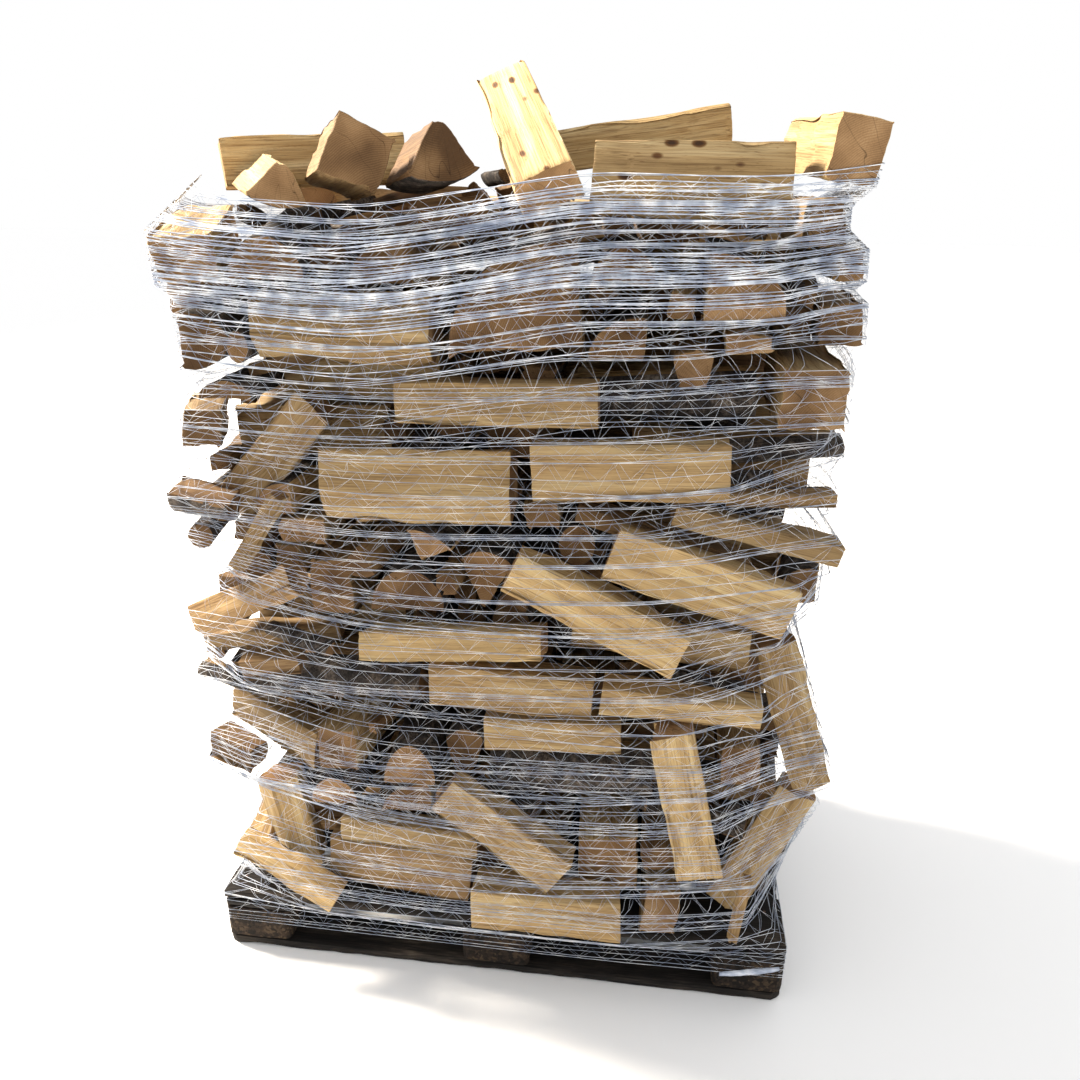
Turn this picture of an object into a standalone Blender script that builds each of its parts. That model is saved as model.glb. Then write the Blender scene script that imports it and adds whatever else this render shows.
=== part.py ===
"""A pallet load of split firewood, held on its pallet by a wound net.

World axes: X runs along the 1200 mm side of the pallet, Y runs from the front into the load, Z is up.
The origin is the middle of the pallet's underside. Lengths are in metres unless a name says otherwise.
"""

import math
import random

import bmesh
import bpy
import numpy as np
from mathutils import Euler, Matrix, Vector

# Pallet: a standard 1200 x 800 mm four-way block pallet
PALLET_LENGTH = 1.200
PALLET_DEPTH = 0.800
PALLET_HEIGHT = 0.144
BOARD_THICK = 0.022
WIDE_BOARD = 0.145
NARROW_BOARD = 0.100
GAP = 0.0003

# Load of split logs
LOG_LENGTH = 0.330
LOG_GAP = 0.0006
BITE = 0.010
LOAD_LEFT = -0.560
LOAD_RIGHT = 0.570
LOAD_BACK = 0.420
LOAD_TOP = 1.510
FRONT_TOP = 1.605
LOOSE_TOP = 1.665
LOWER_TOP = 0.600
MIDDLE_TOP = 1.060
GROUPS = ("lower", "middle", "upper")
CORE_Y = 0.045

# The logs that fill each face behind the placed ones: their sizes, the share that lies along the face,
# and how far a log may be slid in. The two sides start and end a little short of the corners.
SIDE_FRONT, SIDE_BACK = -0.385, 0.340
SIDE_SIZES, SIDE_LYING, SIDE_REACH = (0.12, 0.085), 0.35, 0.12
FRONT_SIZES, FRONT_REACH = (0.11, 0.08, 0.06), 0.20
BACK_SIZES, BACK_LYING, BACK_REACH = (0.12, 0.09), 0.45, 0.14
SEED = 15
PUSHES = [0.01 * step for step in range(16)]
THINNER = (1.0, 0.86, 0.72, 0.6)

# A log set deeper in the load moves along the line from this point through its place on the front plane
EYE = np.array((0.277, -1.917, 1.579))
FRONT_Y = -PALLET_DEPTH / 2

# Net
NET_LOW = 0.1005
NET_HIGH = 1.580
NET_RISE = 0.060
NET_RINGS = 16
NET_SIDES = 20
NET_CLEAR = 0.004
NET_THICK = 0.0025
TAIL_RADIUS = 0.0065
TAIL_CLEAR = 0.0010
TAIL_LINE = ((0.463, 0.118), (0.485, 0.114), (0.530, 0.111), (0.565, 0.109), (0.584, 0.111))

COLLECTION = "net_wrapped_firewood_pallet"
SPLIT_WOOD = ("split_wood", (0.55, 0.38, 0.20), 0.8)
PALLET_WOOD = ("weathered_pallet_wood", (0.09, 0.07, 0.05), 0.85)
BLOCK_WOOD = ("chip_block", (0.20, 0.13, 0.08), 0.9)
NET_PLASTIC = ("net_plastic", (0.85, 0.88, 0.92), 0.5)

# Cross-sections of split logs in a unit box, counter-clockwise, first the depth and then the height.
# Minus depth is the side that faces forward.
SECTIONS = {
    "slab": [(-0.5, -0.5), (0.38, -0.42), (0.5, 0.0), (0.42, 0.45), (-0.5, 0.5)],
    "block": [(-0.5, -0.42), (0.46, -0.5), (0.5, 0.44), (-0.44, 0.5)],
    "ridge": [(-0.5, -0.06), (-0.25, -0.5), (0.5, -0.38), (0.5, 0.36), (-0.28, 0.5)],
    "wedge": [(-0.07, -0.5), (0.08, -0.5), (0.5, 0.3), (0.2, 0.5), (-0.2, 0.48), (-0.5, 0.34)],
    "half": [(-0.5, -0.4), (0.5, -0.4), (0.46, 0.02), (0.24, 0.38), (-0.02, 0.5), (-0.26, 0.36), (-0.47, 0.0)],
    "bark": [(0.5, -0.5), (0.5, 0.5), (0.0, 0.48), (-0.36, 0.27), (-0.5, 0.0), (-0.36, -0.28), (0.0, -0.5)],
    "quarter": [(-0.5, -0.5), (0.5, -0.5), (0.44, -0.1), (0.22, 0.26), (-0.1, 0.46), (-0.5, 0.5)],
    "round": [(0.5, 0.0), (0.35, 0.35), (0.0, 0.5), (-0.35, 0.35), (-0.5, 0.0), (-0.35, -0.35), (0.0, -0.5),
              (0.35, -0.35)],
}

# Logs that show on the front and on top, each in its own node, nearest first. Columns: name, place
# across and height on the front plane, how far behind it, length (mm), lean of the axis and turn into
# the load (degrees), section, its height and thickness (mm), spin about the log's own axis (degrees).
FRONT_LOGS = [
    ("front_bottom_middle", 105, 148, -60, 305, 0, 0, "block", 108, 95, 0),
    ("front_leaning_right", 377, 450, -45, 322, -77, 0, "slab", 98, 85, 0),
    ("front_slanting_low", 10, 345, -48, 285, -33, -6, "slab", 104, 80, 0),
    ("front_slanting_long", 190, 852, -40, 345, -25, 0, "slab", 98, 85, 0),
    ("front_slanting_wide", 372, 925, -25, 335, -17, 0, "slab", 108, 80, 0),
    ("front_with_orange_top", -85, 770, -30, 345, 4, 0, "block", 68, 110, -12),
    ("front_middle_right", 238, 1124, -20, 335, 3, 0, "slab", 108, 95, 0),
    ("front_middle_left", -145, 1075, -15, 350, 1, 0, "ridge", 150, 110, 0),
    ("front_middle_high", 5, 1229, -15, 350, 1, 0, "block", 90, 90, 0),
    ("front_upper_left", -262, 1345, -10, 320, 0, -3, "ridge", 135, 100, 12),
    ("top_long_right", 310, 1588, -5, 310, -1, 0, "block", 126, 120, 0),
    ("top_right_corner", 550, 1632, -15, 320, 3, 97, "block", 105, 88, 14),
    ("top_tall", 96, 1572, -5, 330, 31, 113, "block", 84, 112, -24),
    ("top_brown_left", -205, 1622, 40, 240, -4, 117, "block", 112, 112, 28),
    ("top_brown_middle", -72, 1628, 60, 240, -4, 114, "wedge", 105, 140, 176),
    ("top_low_left", -338, 1578, 20, 240, 4, 118, "wedge", 82, 118, 190),
    ("top_far_left", -270, 1612, 215, 340, 3, 27, "block", 105, 100, 0),
    ("top_far_right", 232, 1645, 210, 330, 8, 12, "slab", 85, 90, 0),
    ("corner_left_high", -512, 1462, 0, 300, 8, 106, "block", 92, 120, 0),
    ("front_end_big", 35, 1408, 0, 330, 3, 94, "quarter", 178, 235, -6),
    ("corner_right_high", 528, 1262, -5, 320, 0, 90, "block", 116, 120, 4),
    ("right_fan_middle", 462, 1022, 5, 300, -13, 4, "slab", 46, 90, 0),
    ("corner_left_middle", -514, 1170, -5, 210, -3, 113, "block", 84, 84, 12),
    ("right_short_slab", 495, 1088, 5, 190, 2, 6, "slab", 38, 80, 0),
    ("right_fan_top", 300, 1004, 20, 330, -17, 0, "slab", 42, 85, 0),
    ("left_splint", -445, 975, -12, 185, 56, -6, "block", 40, 42, 0),
    ("left_sunlit_split", -490, 828, 5, 250, 29, -8, "ridge", 85, 80, 0),
    ("front_wide_middle", 30, 682, -12, 320, -2, 0, "slab", 98, 95, 0),
    ("front_right_middle", 352, 672, -22, 296, -3, 0, "slab", 62, 90, 0),
    ("front_low_middle", 112, 588, -8, 270, 1, 0, "block", 84, 90, 0),
    ("right_edge_standing", 560, 665, -8, 320, -72, 0, "ridge", 92, 90, 0),
    ("right_edge_slanting", 525, 365, -12, 320, 66, 0, "ridge", 95, 85, 0),
    ("left_standing", -440, 322, 28, 225, -80, 0, "ridge", 105, 90, 0),
    ("left_lowest", -455, 198, -42, 240, -27, -4, "slab", 64, 62, 0),
    ("splint_right", 500, 200, -12, 160, 84, 0, "block", 30, 36, 0),
]

# Logs of the front that are joined to the load behind them, in the same columns
JOINED_FRONT_LOGS = [
    ("front_slanting_left", -398, 1160, 0, 270, 49, -4, "slab", 94, 84, 0),
    ("front_end_right_high", 408, 1435, 0, 320, 2, 90, "quarter", 135, 112, 90),
    ("front_end_left_high", -375, 1460, -10, 310, 9, 98, "half", 88, 130, 0),
    ("front_lower_left_end", -400, 1050, 45, 320, 4, 84, "quarter", 100, 120, 0),
    ("rough_low_left", -212, 205, -15, 310, -5, 0, "block", 132, 100, 0),
    ("low_pale", -180, 322, 5, 290, -2, 0, "slab", 78, 90, 0),
    ("low_end_right", 232, 305, 15, 320, 0, 92, "block", 165, 140, 0),
    ("low_small_end_right", 340, 190, -2, 300, 0, 90, "block", 128, 84, 6),
    ("bark_low", 150, 495, 25, 330, 2, 0, "bark", 130, 110, 0),
    ("pale_end_low", -58, 530, -2, 320, 0, 90, "wedge", 146, 90, 6),
    ("half_end_low", -170, 500, 18, 320, 0, 92, "half", 118, 120, 0),
    ("pale_turned", -325, 522, 0, 300, 2, 84, "block", 116, 100, 0),
    ("left_point", -470, 562, 5, 250, -12, -25, "slab", 100, 95, 0),
    ("bark_middle", -294, 672, 20, 312, 1, 0, "bark", 102, 105, 0),
    ("end_one", -300, 882, 28, 320, 0, 90, "block", 132, 104, 4),
    ("end_two", -158, 880, 35, 320, 0, 91, "half", 104, 148, 0),
    ("end_three", -12, 912, 28, 320, 0, 88, "wedge", 122, 112, 6),
    ("end_four", -380, 930, 20, 300, 0, 86, "block", 92, 70, 0),
    ("end_five", -350, 988, 32, 300, 0, 92, "slab", 60, 98, 0),
    ("end_six", -120, 968, 12, 300, -4, 85, "wedge", 62, 100, 20),
    ("end_seven", 152, 990, 45, 300, 0, 90, "round", 92, 78, 0),
    ("end_eight", 90, 1040, 55, 300, 0, 92, "block", 78, 92, 0),
    ("bark_high", 298, 1248, 55, 330, 4, 0, "bark", 92, 90, 0),
    ("end_bark_left", -500, 1325, 12, 300, 0, 98, "half", 108, 112, 90),
    ("end_round_left", -436, 1318, 5, 280, 0, 94, "round", 74, 52, 0),
    ("slab_end_left", -468, 1240, 15, 300, 0, 92, "half", 46, 105, 0),
    ("end_right_two", 420, 1338, 25, 300, 0, 90, "block", 54, 120, 0),
    ("point_right_bark", 476, 1162, 85, 325, 4, 8, "bark", 56, 76, 0),
    ("end_right_far", 560, 1470, 60, 300, 0, 96, "block", 62, 55, 0),
    ("end_right_top", 518, 1540, 45, 300, 0, 92, "block", 88, 70, 0),
    ("end_high_one", 215, 1462, 45, 300, 0, 92, "half", 84, 120, 0),
    ("end_high_two", 310, 1405, 60, 300, 0, 88, "block", 62, 62, 10),
    ("end_high_three", 232, 1345, 45, 300, 0, 90, "quarter", 80, 105, 0),
    ("end_high_four", -190, 1462, 55, 300, 0, 90, "quarter", 84, 120, 0),
    ("end_left_low", -500, 1035, 25, 300, 0, 94, "round", 92, 90, 0),
    ("slab_left", -430, 764, 42, 290, 6, 6, "slab", 48, 85, 0),
    ("bark_left", -540, 726, 28, 300, 0, 98, "round", 64, 60, 0),
    ("bark_left_low", -512, 655, 15, 200, -8, -12, "bark", 76, 80, 0),
    ("end_left_small", -545, 880, 35, 280, 0, 100, "round", 58, 55, 0),
    ("end_right_low", 470, 565, 38, 300, 0, 92, "block", 96, 84, 0),
    ("end_right_brown", 560, 936, 18, 280, -4, 80, "quarter", 74, 82, 0),
    ("slant_right_pale", 432, 765, 18, 180, 52, 0, "block", 42, 60, 0),
    ("bark_right_low", 566, 285, 78, 230, 76, 0, "bark", 62, 70, 0),
    ("end_low_one", 440, 220, 55, 300, 0, 90, "quarter", 96, 100, 0),
    ("end_low_two", -545, 250, 30, 260, 0, 98, "block", 74, 60, 12),
    ("end_low_three", -430, 448, 20, 300, 0, 88, "quarter", 88, 96, 90),
    ("end_low_four", -330, 425, 35, 300, 0, 90, "half", 84, 110, 0),
    ("end_low_five", -180, 425, 35, 300, 0, 92, "quarter", 82, 120, 0),
    ("left_corner_high", -520, 1400, 60, 300, 0, 97, "quarter", 84, 84, 90),
    ("left_corner_middle", -500, 1110, 75, 300, 0, 95, "block", 70, 84, 0),
    ("left_corner_low", -495, 690, 85, 300, 0, 96, "quarter", 84, 90, 90),
    ("right_corner_high", 555, 1380, 70, 300, 0, 86, "block", 80, 84, 0),
    ("right_corner_low", 520, 500, 80, 300, 0, 86, "quarter", 110, 84, 90),
    ("right_corner_lowest", 530, 370, 90, 300, 0, 86, "block", 90, 84, 0),
]


class Log:
    """A split log as a convex prism, which can be slid until it is clear of the logs already placed."""

    def __init__(self, name, length, lean, turn, section, high, thick, spin, own=False):
        self.name = name
        self.own = own
        self.group = None
        self.outline = [(y * thick, z * high) for y, z in SECTIONS[section]]
        self.length = length
        self.end_on = turn >= 60
        self.turned = Euler((math.radians(spin), math.radians(-lean), math.radians(turn))).to_matrix()
        near, far = ([(end * length / 2, y, z) for y, z in self.outline] for end in (-1, 1))
        self.local = near + far
        self.rotated = np.array([self.turned @ Vector(p) for p in self.local])
        axis = np.array(self.turned.col[0])
        around = np.roll(self.rotated[: len(near)], -1, axis=0) - self.rotated[: len(near)]
        sides = np.cross(around, axis)
        self.edges = np.vstack([around, axis])
        self.normals = np.vstack([sides / np.linalg.norm(sides, axis=1)[:, None], axis])
        self.place(np.zeros(3))

    def place(self, at):
        self.at = np.array(at, dtype=float)
        self.points = self.rotated + self.at
        self.low, self.high = self.points.min(axis=0), self.points.max(axis=0)

    def face_point(self):
        """From the middle of the log to the middle of the face or end that faces forward."""
        local = (-self.length / 2, 0, 0) if self.end_on else (0, min(y for y, z in self.outline), 0)
        return np.array(self.turned @ Vector(local))


def closer_than(gap, moving, fixed, way):
    """The stretch of travel along way in which two logs are closer than gap, or None."""
    crossed = np.cross(moving.edges[:, None], fixed.edges[None]).reshape(-1, 3)
    sizes = np.linalg.norm(crossed, axis=1)
    crossed = crossed[sizes > 1e-9] / sizes[sizes > 1e-9][:, None]
    axes = np.vstack([moving.normals, fixed.normals, crossed]).T
    a, b = moving.points @ axes, fixed.points @ axes
    speed = way @ axes
    apart = np.concatenate([b.min(axis=0) - a.max(axis=0), a.min(axis=0) - b.max(axis=0)]) - gap
    rate = np.concatenate([-speed, speed])
    still = np.abs(rate) < 1e-9
    if (apart[still] >= 0).any():
        return None
    leaving, nearing = rate >= 1e-9, rate <= -1e-9
    start = (apart[nearing] / -rate[nearing]).max() if nearing.any() else -math.inf
    end = (-apart[leaving] / rate[leaving]).min() if leaving.any() else math.inf
    return (start, end) if start < end else None


def gap_between(a, b):
    """Logs of one group bite into each other a little, and all others keep a gap."""
    return -BITE if a.group == b.group and not (a.own or b.own) else LOG_GAP


def stretches(log, placed, way, limit):
    """Every stretch of travel up to limit in which the log would be too close to a placed one."""
    found = []
    low = np.minimum(log.low, log.low + way * limit) - LOG_GAP
    high = np.maximum(log.high, log.high + way * limit) + LOG_GAP
    for other in placed:
        if (other.high > low).all() and (other.low < high).all():
            span = closer_than(gap_between(log, other), log, other, way)
            if span:
                found.append(span)
    return found


def first_clear(log, placed, way, limit):
    """The shortest travel along way at which the log is clear, or None within limit."""
    spans = stretches(log, placed, way, limit)
    travel = 0.0
    while True:
        blocking = [end for start, end in spans if start < travel < end or travel == 0.0 and start < 0 < end]
        if not blocking:
            return travel if travel <= limit else None
        travel = max(blocking) + 1e-6


def add_log(log, placed, way, limit):
    """Slides the log clear of what is placed and adds it, or leaves it out."""
    travel = first_clear(log, placed, way, limit)
    if travel is None:
        return False
    log.place(log.at + way * travel)
    placed.append(log)
    return True


def group_of(log):
    height = log.at[2]
    return "lower" if height < LOWER_TOP else "middle" if height < MIDDLE_TOP else "upper"


def front_log(row, own, size=1.0):
    """A log of the front, from its place on the front plane and how far behind it it lies."""
    name, across, height, back, length, lean, turn, section, high, thick, spin = row
    high, thick = size * high / 1000, size * thick / 1000
    log = Log("log_" + name, length / 1000, lean, turn, section, high, thick, spin, own)
    on_plane = np.array((across / 1000, FRONT_Y, height / 1000))
    sight = (on_plane - EYE) / (FRONT_Y - EYE[1])
    log.place(on_plane + sight * back / 1000 - log.face_point())
    way = sight
    floor = PALLET_HEIGHT + LOG_GAP
    if log.low[2] < floor + 0.03:
        log.place(log.at + (0, 0, max(0.0, floor - log.low[2])))
        way = np.array((0.0, 1.0, 0.0))
    log.group = group_of(log)
    return log, way


def add_front_logs(placed):
    """The front logs, nearest first. One that finds no room is made thinner until it does."""
    for rows, own in ((FRONT_LOGS, True), (JOINED_FRONT_LOGS, False)):
        for row in rows:
            for size in THINNER:
                log, way = front_log(row, own, size)
                if add_log(log, placed, way, 0.09 if size > THINNER[-1] else 0.12):
                    break


def cut_log(rng, name, length, turn, lean, size):
    """A log of the other sides, its section drawn from what the front shows."""
    section = rng.choice(("slab", "block", "block", "wedge", "half", "quarter", "ridge"))
    high = size * rng.uniform(0.85, 1.1)
    thick = size * rng.uniform(0.9, 1.3)
    spin = rng.choice((0, 90, 180, 270)) + rng.uniform(-12, 12)
    return Log(name, length, lean, turn, section, high, thick, spin)


def stack_face(rng, placed, name, start, end, top, face, along, inward, sizes, lying, reach):
    """Logs on one face of the load, end-on or lying along it, big ones first and then smaller ones
    where there is still room. Each is slid in until it is clear."""
    heading = math.degrees(math.atan2(inward[1], inward[0]))
    made = 0
    for size in sizes:
        height = PALLET_HEIGHT + LOG_GAP + size / 2
        while height < top - size / 2:
            at = start + rng.uniform(0.0, 0.04)
            while at < end - size / 2:
                length = LOG_LENGTH + rng.uniform(-0.02, 0.015)
                flat = rng.random() < lying and start + length / 2 < at < end - length / 2
                turn = heading + rng.uniform(-8, 8) + (90 if flat else 0)
                log = cut_log(rng, f"{name}_{made}", length, turn, rng.uniform(-4, 4), size)
                depth = (log.high - log.low) @ np.abs(inward) / 2
                centre = along * at + face + inward * (depth + rng.uniform(-0.012, 0.025))
                log.place((centre[0], centre[1], height + rng.uniform(-0.01, 0.01)))
                log.place(log.at + (0, 0, max(0.0, PALLET_HEIGHT + LOG_GAP - log.low[2])))
                log.group = group_of(log)
                added = add_log(log, placed, inward, reach)
                made += added
                at += log.length if added and flat else size * 0.5
            height += size * 0.55
    return made


def add_core(rng, placed):
    """Big logs through the middle of the load, across the inner ends of the others, which bite into them."""
    height = PALLET_HEIGHT + 0.07
    while height < LOAD_TOP - 0.06:
        for x in (-0.34, 0.0, 0.34):
            for size in THINNER:
                log = Log("core", LOG_LENGTH + 0.02, 0, 0, "block", 0.11 * size, 0.15 * size, 0)
                log.place((x + rng.uniform(-0.01, 0.01), CORE_Y, height))
                log.group = group_of(log)
                apart = [other for other in placed if other.own or other.group != log.group]
                if first_clear(log, apart, np.array((0.0, 1.0, 0.0)), 0.05) is not None:
                    add_log(log, apart, np.array((0.0, 1.0, 0.0)), 0.05)
                    placed.append(log)
                    break
        height += 0.115


def drop_top(rng, placed):
    """Loose logs that lie on the load behind the front ones, each lowered until it rests."""
    down = np.array((0.0, 0.0, -1.0))
    for x, y, turn in ((-0.40, 0.20, 80), (-0.28, 0.05, 10), (-0.12, 0.24, 60), (0.05, 0.10, 5), (0.16, 0.27, 95),
                       (0.33, 0.12, 12), (0.46, 0.24, 85), (-0.02, 0.30, 20), (0.40, -0.08, 80), (-0.42, -0.10, 85),
                       (-0.22, -0.12, 80), (0.02, -0.10, 85), (0.14, -0.06, 95), (0.30, -0.04, 5)):
        log = cut_log(rng, "loose", LOG_LENGTH, turn + rng.uniform(-8, 8), rng.uniform(-3, 3), 0.11)
        log.place((x, y, 2.0))
        log.group = "upper"
        spans = stretches(log, placed, down, 1.0)
        log.place(log.at + down * min(start for start, end in spans))
        if log.high[2] < LOOSE_TOP:
            placed.append(log)


def overlap(a, b):
    if (a.low > b.high).any() or (b.low > a.high).any():
        return False
    span = closer_than(-BITE / 4, a, b, np.array((0.0, 0.0, 1.0)))
    return bool(span) and span[0] < 0 < span[1]


def joined_sets(logs):
    """Sets of logs that touch, the largest first."""
    left, sets = list(logs), []
    while left:
        found, edge = [], [left.pop()]
        while edge:
            log = edge.pop()
            found.append(log)
            touching = [other for other in left if overlap(log, other)]
            left = [other for other in left if other not in touching]
            edge += touching
        sets.append(found)
    return sorted(sets, key=len, reverse=True)


def bites(log, body):
    return any(overlap(log, other) for other in body)


def pull_in(waiting, body, apart):
    """Pushes each waiting log inward, down or up until it bites into the body and stays clear of the rest."""
    for push in PUSHES:
        for log in list(waiting):
            inward = np.array((-log.at[0], CORE_Y - log.at[1], 0.0))
            ways = (inward / (np.linalg.norm(inward) + 1e-9), np.array((0.0, 0.0, -1.0)), np.array((0.0, 0.0, 1.0)))
            home = log.at
            for way in ways:
                log.place(home + way * push)
                if log.low[2] > PALLET_HEIGHT + LOG_GAP and bites(log, body) and not stretches_now(log, apart):
                    body.append(log)
                    waiting.remove(log)
                    break
                log.place(home)


def join_groups(placed):
    """The logs of each group as one touching set. A log that touches none of its own group is pushed in
    until it bites, or joins another group, and is left out where that fails too."""
    bodies, waiting = {}, {}
    for group in GROUPS:
        sets = joined_sets([log for log in placed if log.group == group and not log.own])
        bodies[group] = sets[0]
        waiting[group] = [log for found in sets[1:] for log in found]
    for group in GROUPS:
        pull_in(waiting[group], bodies[group], [log for log in placed if log.own or log.group != group])
    for group in GROUPS:
        for other in GROUPS:
            if other != group:
                for log in list(waiting[group]):
                    log.group = other
                    pull_in([log], bodies[other], [one for one in placed if one.own or one.group != other])
                    if log in bodies[other]:
                        waiting[group].remove(log)
                    else:
                        log.group = group
        for log in waiting[group]:
            placed.remove(log)
    return bodies


def stretches_now(log, others):
    """Whether the log is too close to any of the others where it lies."""
    up = np.array((0.0, 0.0, 1.0))
    return any(start < 0 < end for start, end in stretches(log, others, up, 0.0))


def material(spec, metallic=0.0):
    name, colour, roughness = spec
    found = bpy.data.materials.get(name)
    if found:
        return found
    made = bpy.data.materials.new(name)
    made.use_nodes = True
    shader = made.node_tree.nodes["Principled BSDF"]
    shader.inputs["Base Color"].default_value = (*colour, 1.0)
    shader.inputs["Roughness"].default_value = roughness
    shader.inputs["Metallic"].default_value = metallic
    return made


def add_object(name, mesh, spec, collection):
    made = bpy.data.objects.new(name, mesh)
    mesh.materials.append(material(spec))
    collection.objects.link(made)
    return made


def log_mesh(log):
    """The log's end, drawn as one face and extruded along the log."""
    mesh = bpy.data.meshes.new(log.name)
    shape = bmesh.new()
    end = [shape.verts.new((-log.length / 2, y, z)) for y, z in log.outline]
    face = shape.faces.new(end)
    side = bmesh.ops.extrude_face_region(shape, geom=[face])["geom"]
    moved = [v for v in side if isinstance(v, bmesh.types.BMVert)]
    bmesh.ops.translate(shape, verts=moved, vec=(log.length, 0, 0))
    bmesh.ops.recalc_face_normals(shape, faces=shape.faces)
    shape.to_mesh(mesh)
    shape.free()
    return mesh


def log_object(log, collection):
    made = add_object(log.name, log_mesh(log), SPLIT_WOOD, collection)
    made.matrix_world = Matrix.Translation(Vector(log.at)) @ log.turned.to_4x4()
    return made


def join_logs(name, logs, collection):
    """One solid of many logs that bite into each other."""
    tools = bpy.data.collections.new(name + "_tools")
    bpy.context.scene.collection.children.link(tools)
    pieces = [log_object(log, tools) for log in logs]
    first = pieces[0]
    tools.objects.unlink(first)
    collection.objects.link(first)
    union = first.modifiers.new("join", "BOOLEAN")
    union.operation = "UNION"
    union.solver = "EXACT"
    union.operand_type = "COLLECTION"
    union.collection = tools
    bpy.context.view_layer.update()
    solid = bpy.data.meshes.new_from_object(first.evaluated_get(bpy.context.evaluated_depsgraph_get()))
    solid.transform(first.matrix_world)
    for piece in pieces:
        bpy.data.objects.remove(piece)
    bpy.data.collections.remove(tools)
    solid.materials.clear()
    return add_object(name, solid, SPLIT_WOOD, collection)


def board(name, size, centre, spec, collection):
    """A sawn board or block."""
    shape = bmesh.new()
    bmesh.ops.create_cube(shape, size=1.0)
    bmesh.ops.scale(shape, vec=size, verts=shape.verts)
    mesh = bpy.data.meshes.new(name)
    shape.to_mesh(mesh)
    shape.free()
    made = add_object(name, mesh, spec, collection)
    made.location = centre
    return made


def build_pallet(collection):
    """Bottom boards, blocks, cross boards and top boards, each a gap clear of the next."""
    half_length, half_depth = PALLET_LENGTH / 2, PALLET_DEPTH / 2
    columns = (-half_length + WIDE_BOARD / 2, 0.0, half_length - WIDE_BOARD / 2)
    rows = (-half_depth + NARROW_BOARD / 2, 0.0, half_depth - NARROW_BOARD / 2)
    depths = (NARROW_BOARD, WIDE_BOARD, NARROW_BOARD)
    block_height = PALLET_HEIGHT - 3 * BOARD_THICK
    for place, y, depth in zip(("front", "middle", "back"), rows, depths):
        board(f"pallet_bottom_board_{place}", (PALLET_LENGTH, depth, BOARD_THICK),
              (0, y, BOARD_THICK / 2), PALLET_WOOD, collection)
        for side, x in zip(("left", "centre", "right"), columns):
            board(f"pallet_block_{place}_{side}", (WIDE_BOARD, depth, block_height - 2 * GAP),
                  (x, y, BOARD_THICK + block_height / 2), BLOCK_WOOD, collection)
    for side, x in zip(("left", "centre", "right"), columns):
        board(f"pallet_cross_board_{side}", (WIDE_BOARD, PALLET_DEPTH, BOARD_THICK),
              (x, 0, BOARD_THICK * 1.5 + block_height), PALLET_WOOD, collection)
    widths = (WIDE_BOARD, NARROW_BOARD, WIDE_BOARD, NARROW_BOARD, WIDE_BOARD)
    space = (PALLET_DEPTH - sum(widths)) / (len(widths) - 1)
    y = -half_depth
    for number, width in enumerate(widths, 1):
        board(f"pallet_top_board_{number}", (PALLET_LENGTH, width, BOARD_THICK - GAP),
              (0, y + width / 2, PALLET_HEIGHT - (BOARD_THICK - GAP) / 2), PALLET_WOOD, collection)
        y += width + space


def band_points(logs, low, high):
    """The corners of all logs between two heights, with the points where their edges cross them."""
    found = []
    for log in logs:
        if log.high[2] < low or log.low[2] > high:
            continue
        count = len(log.outline)
        edges = [(i, i + count) for i in range(count)]
        edges += [(i + k, (i + 1) % count + k) for i in range(count) for k in (0, count)]
        for i, j in edges:
            a, b = log.points[i], log.points[j]
            for level in (low, high):
                if (a[2] - level) * (b[2] - level) < 0:
                    found.append(a + (b - a) * (level - a[2]) / (b[2] - a[2]))
        found += [p for p in log.points if low <= p[2] <= high]
    return found


def net_ring(points, clear):
    """Corners of the many-sided ring that holds all the points at a distance."""
    flat = np.array(points)[:, :2]
    angles = [2 * math.pi * k / NET_SIDES for k in range(NET_SIDES)]
    reach = [(flat @ (math.cos(a), math.sin(a))).max() + clear for a in angles]
    ring = []
    for k in range(NET_SIDES):
        a, b = angles[k], angles[(k + 1) % NET_SIDES]
        lines = np.array(((math.cos(a), math.sin(a)), (math.cos(b), math.sin(b))))
        ring.append(np.linalg.solve(lines, (reach[k], reach[(k + 1) % NET_SIDES])))
    return ring


def net_rings(logs, clear):
    """The net's rings from the bottom up, the upper ones tilted so that the net ends higher on the right."""
    half_length, half_depth = PALLET_LENGTH / 2, PALLET_DEPTH / 2
    deck = [np.array((x, y, 0.0)) for x in (-half_length, half_length) for y in (-half_depth, half_depth)]
    step = (NET_HIGH - NET_LOW) / (NET_RINGS - 1)
    rings = []
    for k in range(NET_RINGS):
        height, rise = NET_LOW + step * k, NET_RISE * k / (NET_RINGS - 1)
        points = band_points(logs, height - step - rise, height + step + rise)
        if height - step < PALLET_HEIGHT:
            points = points + deck
        rings.append([(x, y, height + rise * x) for x, y in net_ring(points, clear)])
    return rings


def build_net(logs, collection):
    """The net as a thin wall drawn tight round the load, open at the top and the bottom."""
    shape = bmesh.new()
    inner, outer = ([[shape.verts.new(corner) for corner in ring] for ring in net_rings(logs, clear)]
                    for clear in (NET_CLEAR, NET_CLEAR + NET_THICK))
    for k in range(NET_SIDES):
        n = (k + 1) % NET_SIDES
        for j in range(NET_RINGS - 1):
            shape.faces.new((outer[j][k], outer[j][n], outer[j + 1][n], outer[j + 1][k]))
            shape.faces.new((inner[j][k], inner[j + 1][k], inner[j + 1][n], inner[j][n]))
        shape.faces.new((inner[0][k], inner[0][n], outer[0][n], outer[0][k]))
        shape.faces.new((outer[-1][k], outer[-1][n], inner[-1][n], inner[-1][k]))
    bmesh.ops.recalc_face_normals(shape, faces=shape.faces)
    mesh = bpy.data.meshes.new("net")
    shape.to_mesh(mesh)
    shape.free()
    return add_object("net", mesh, NET_PLASTIC, collection)


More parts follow.
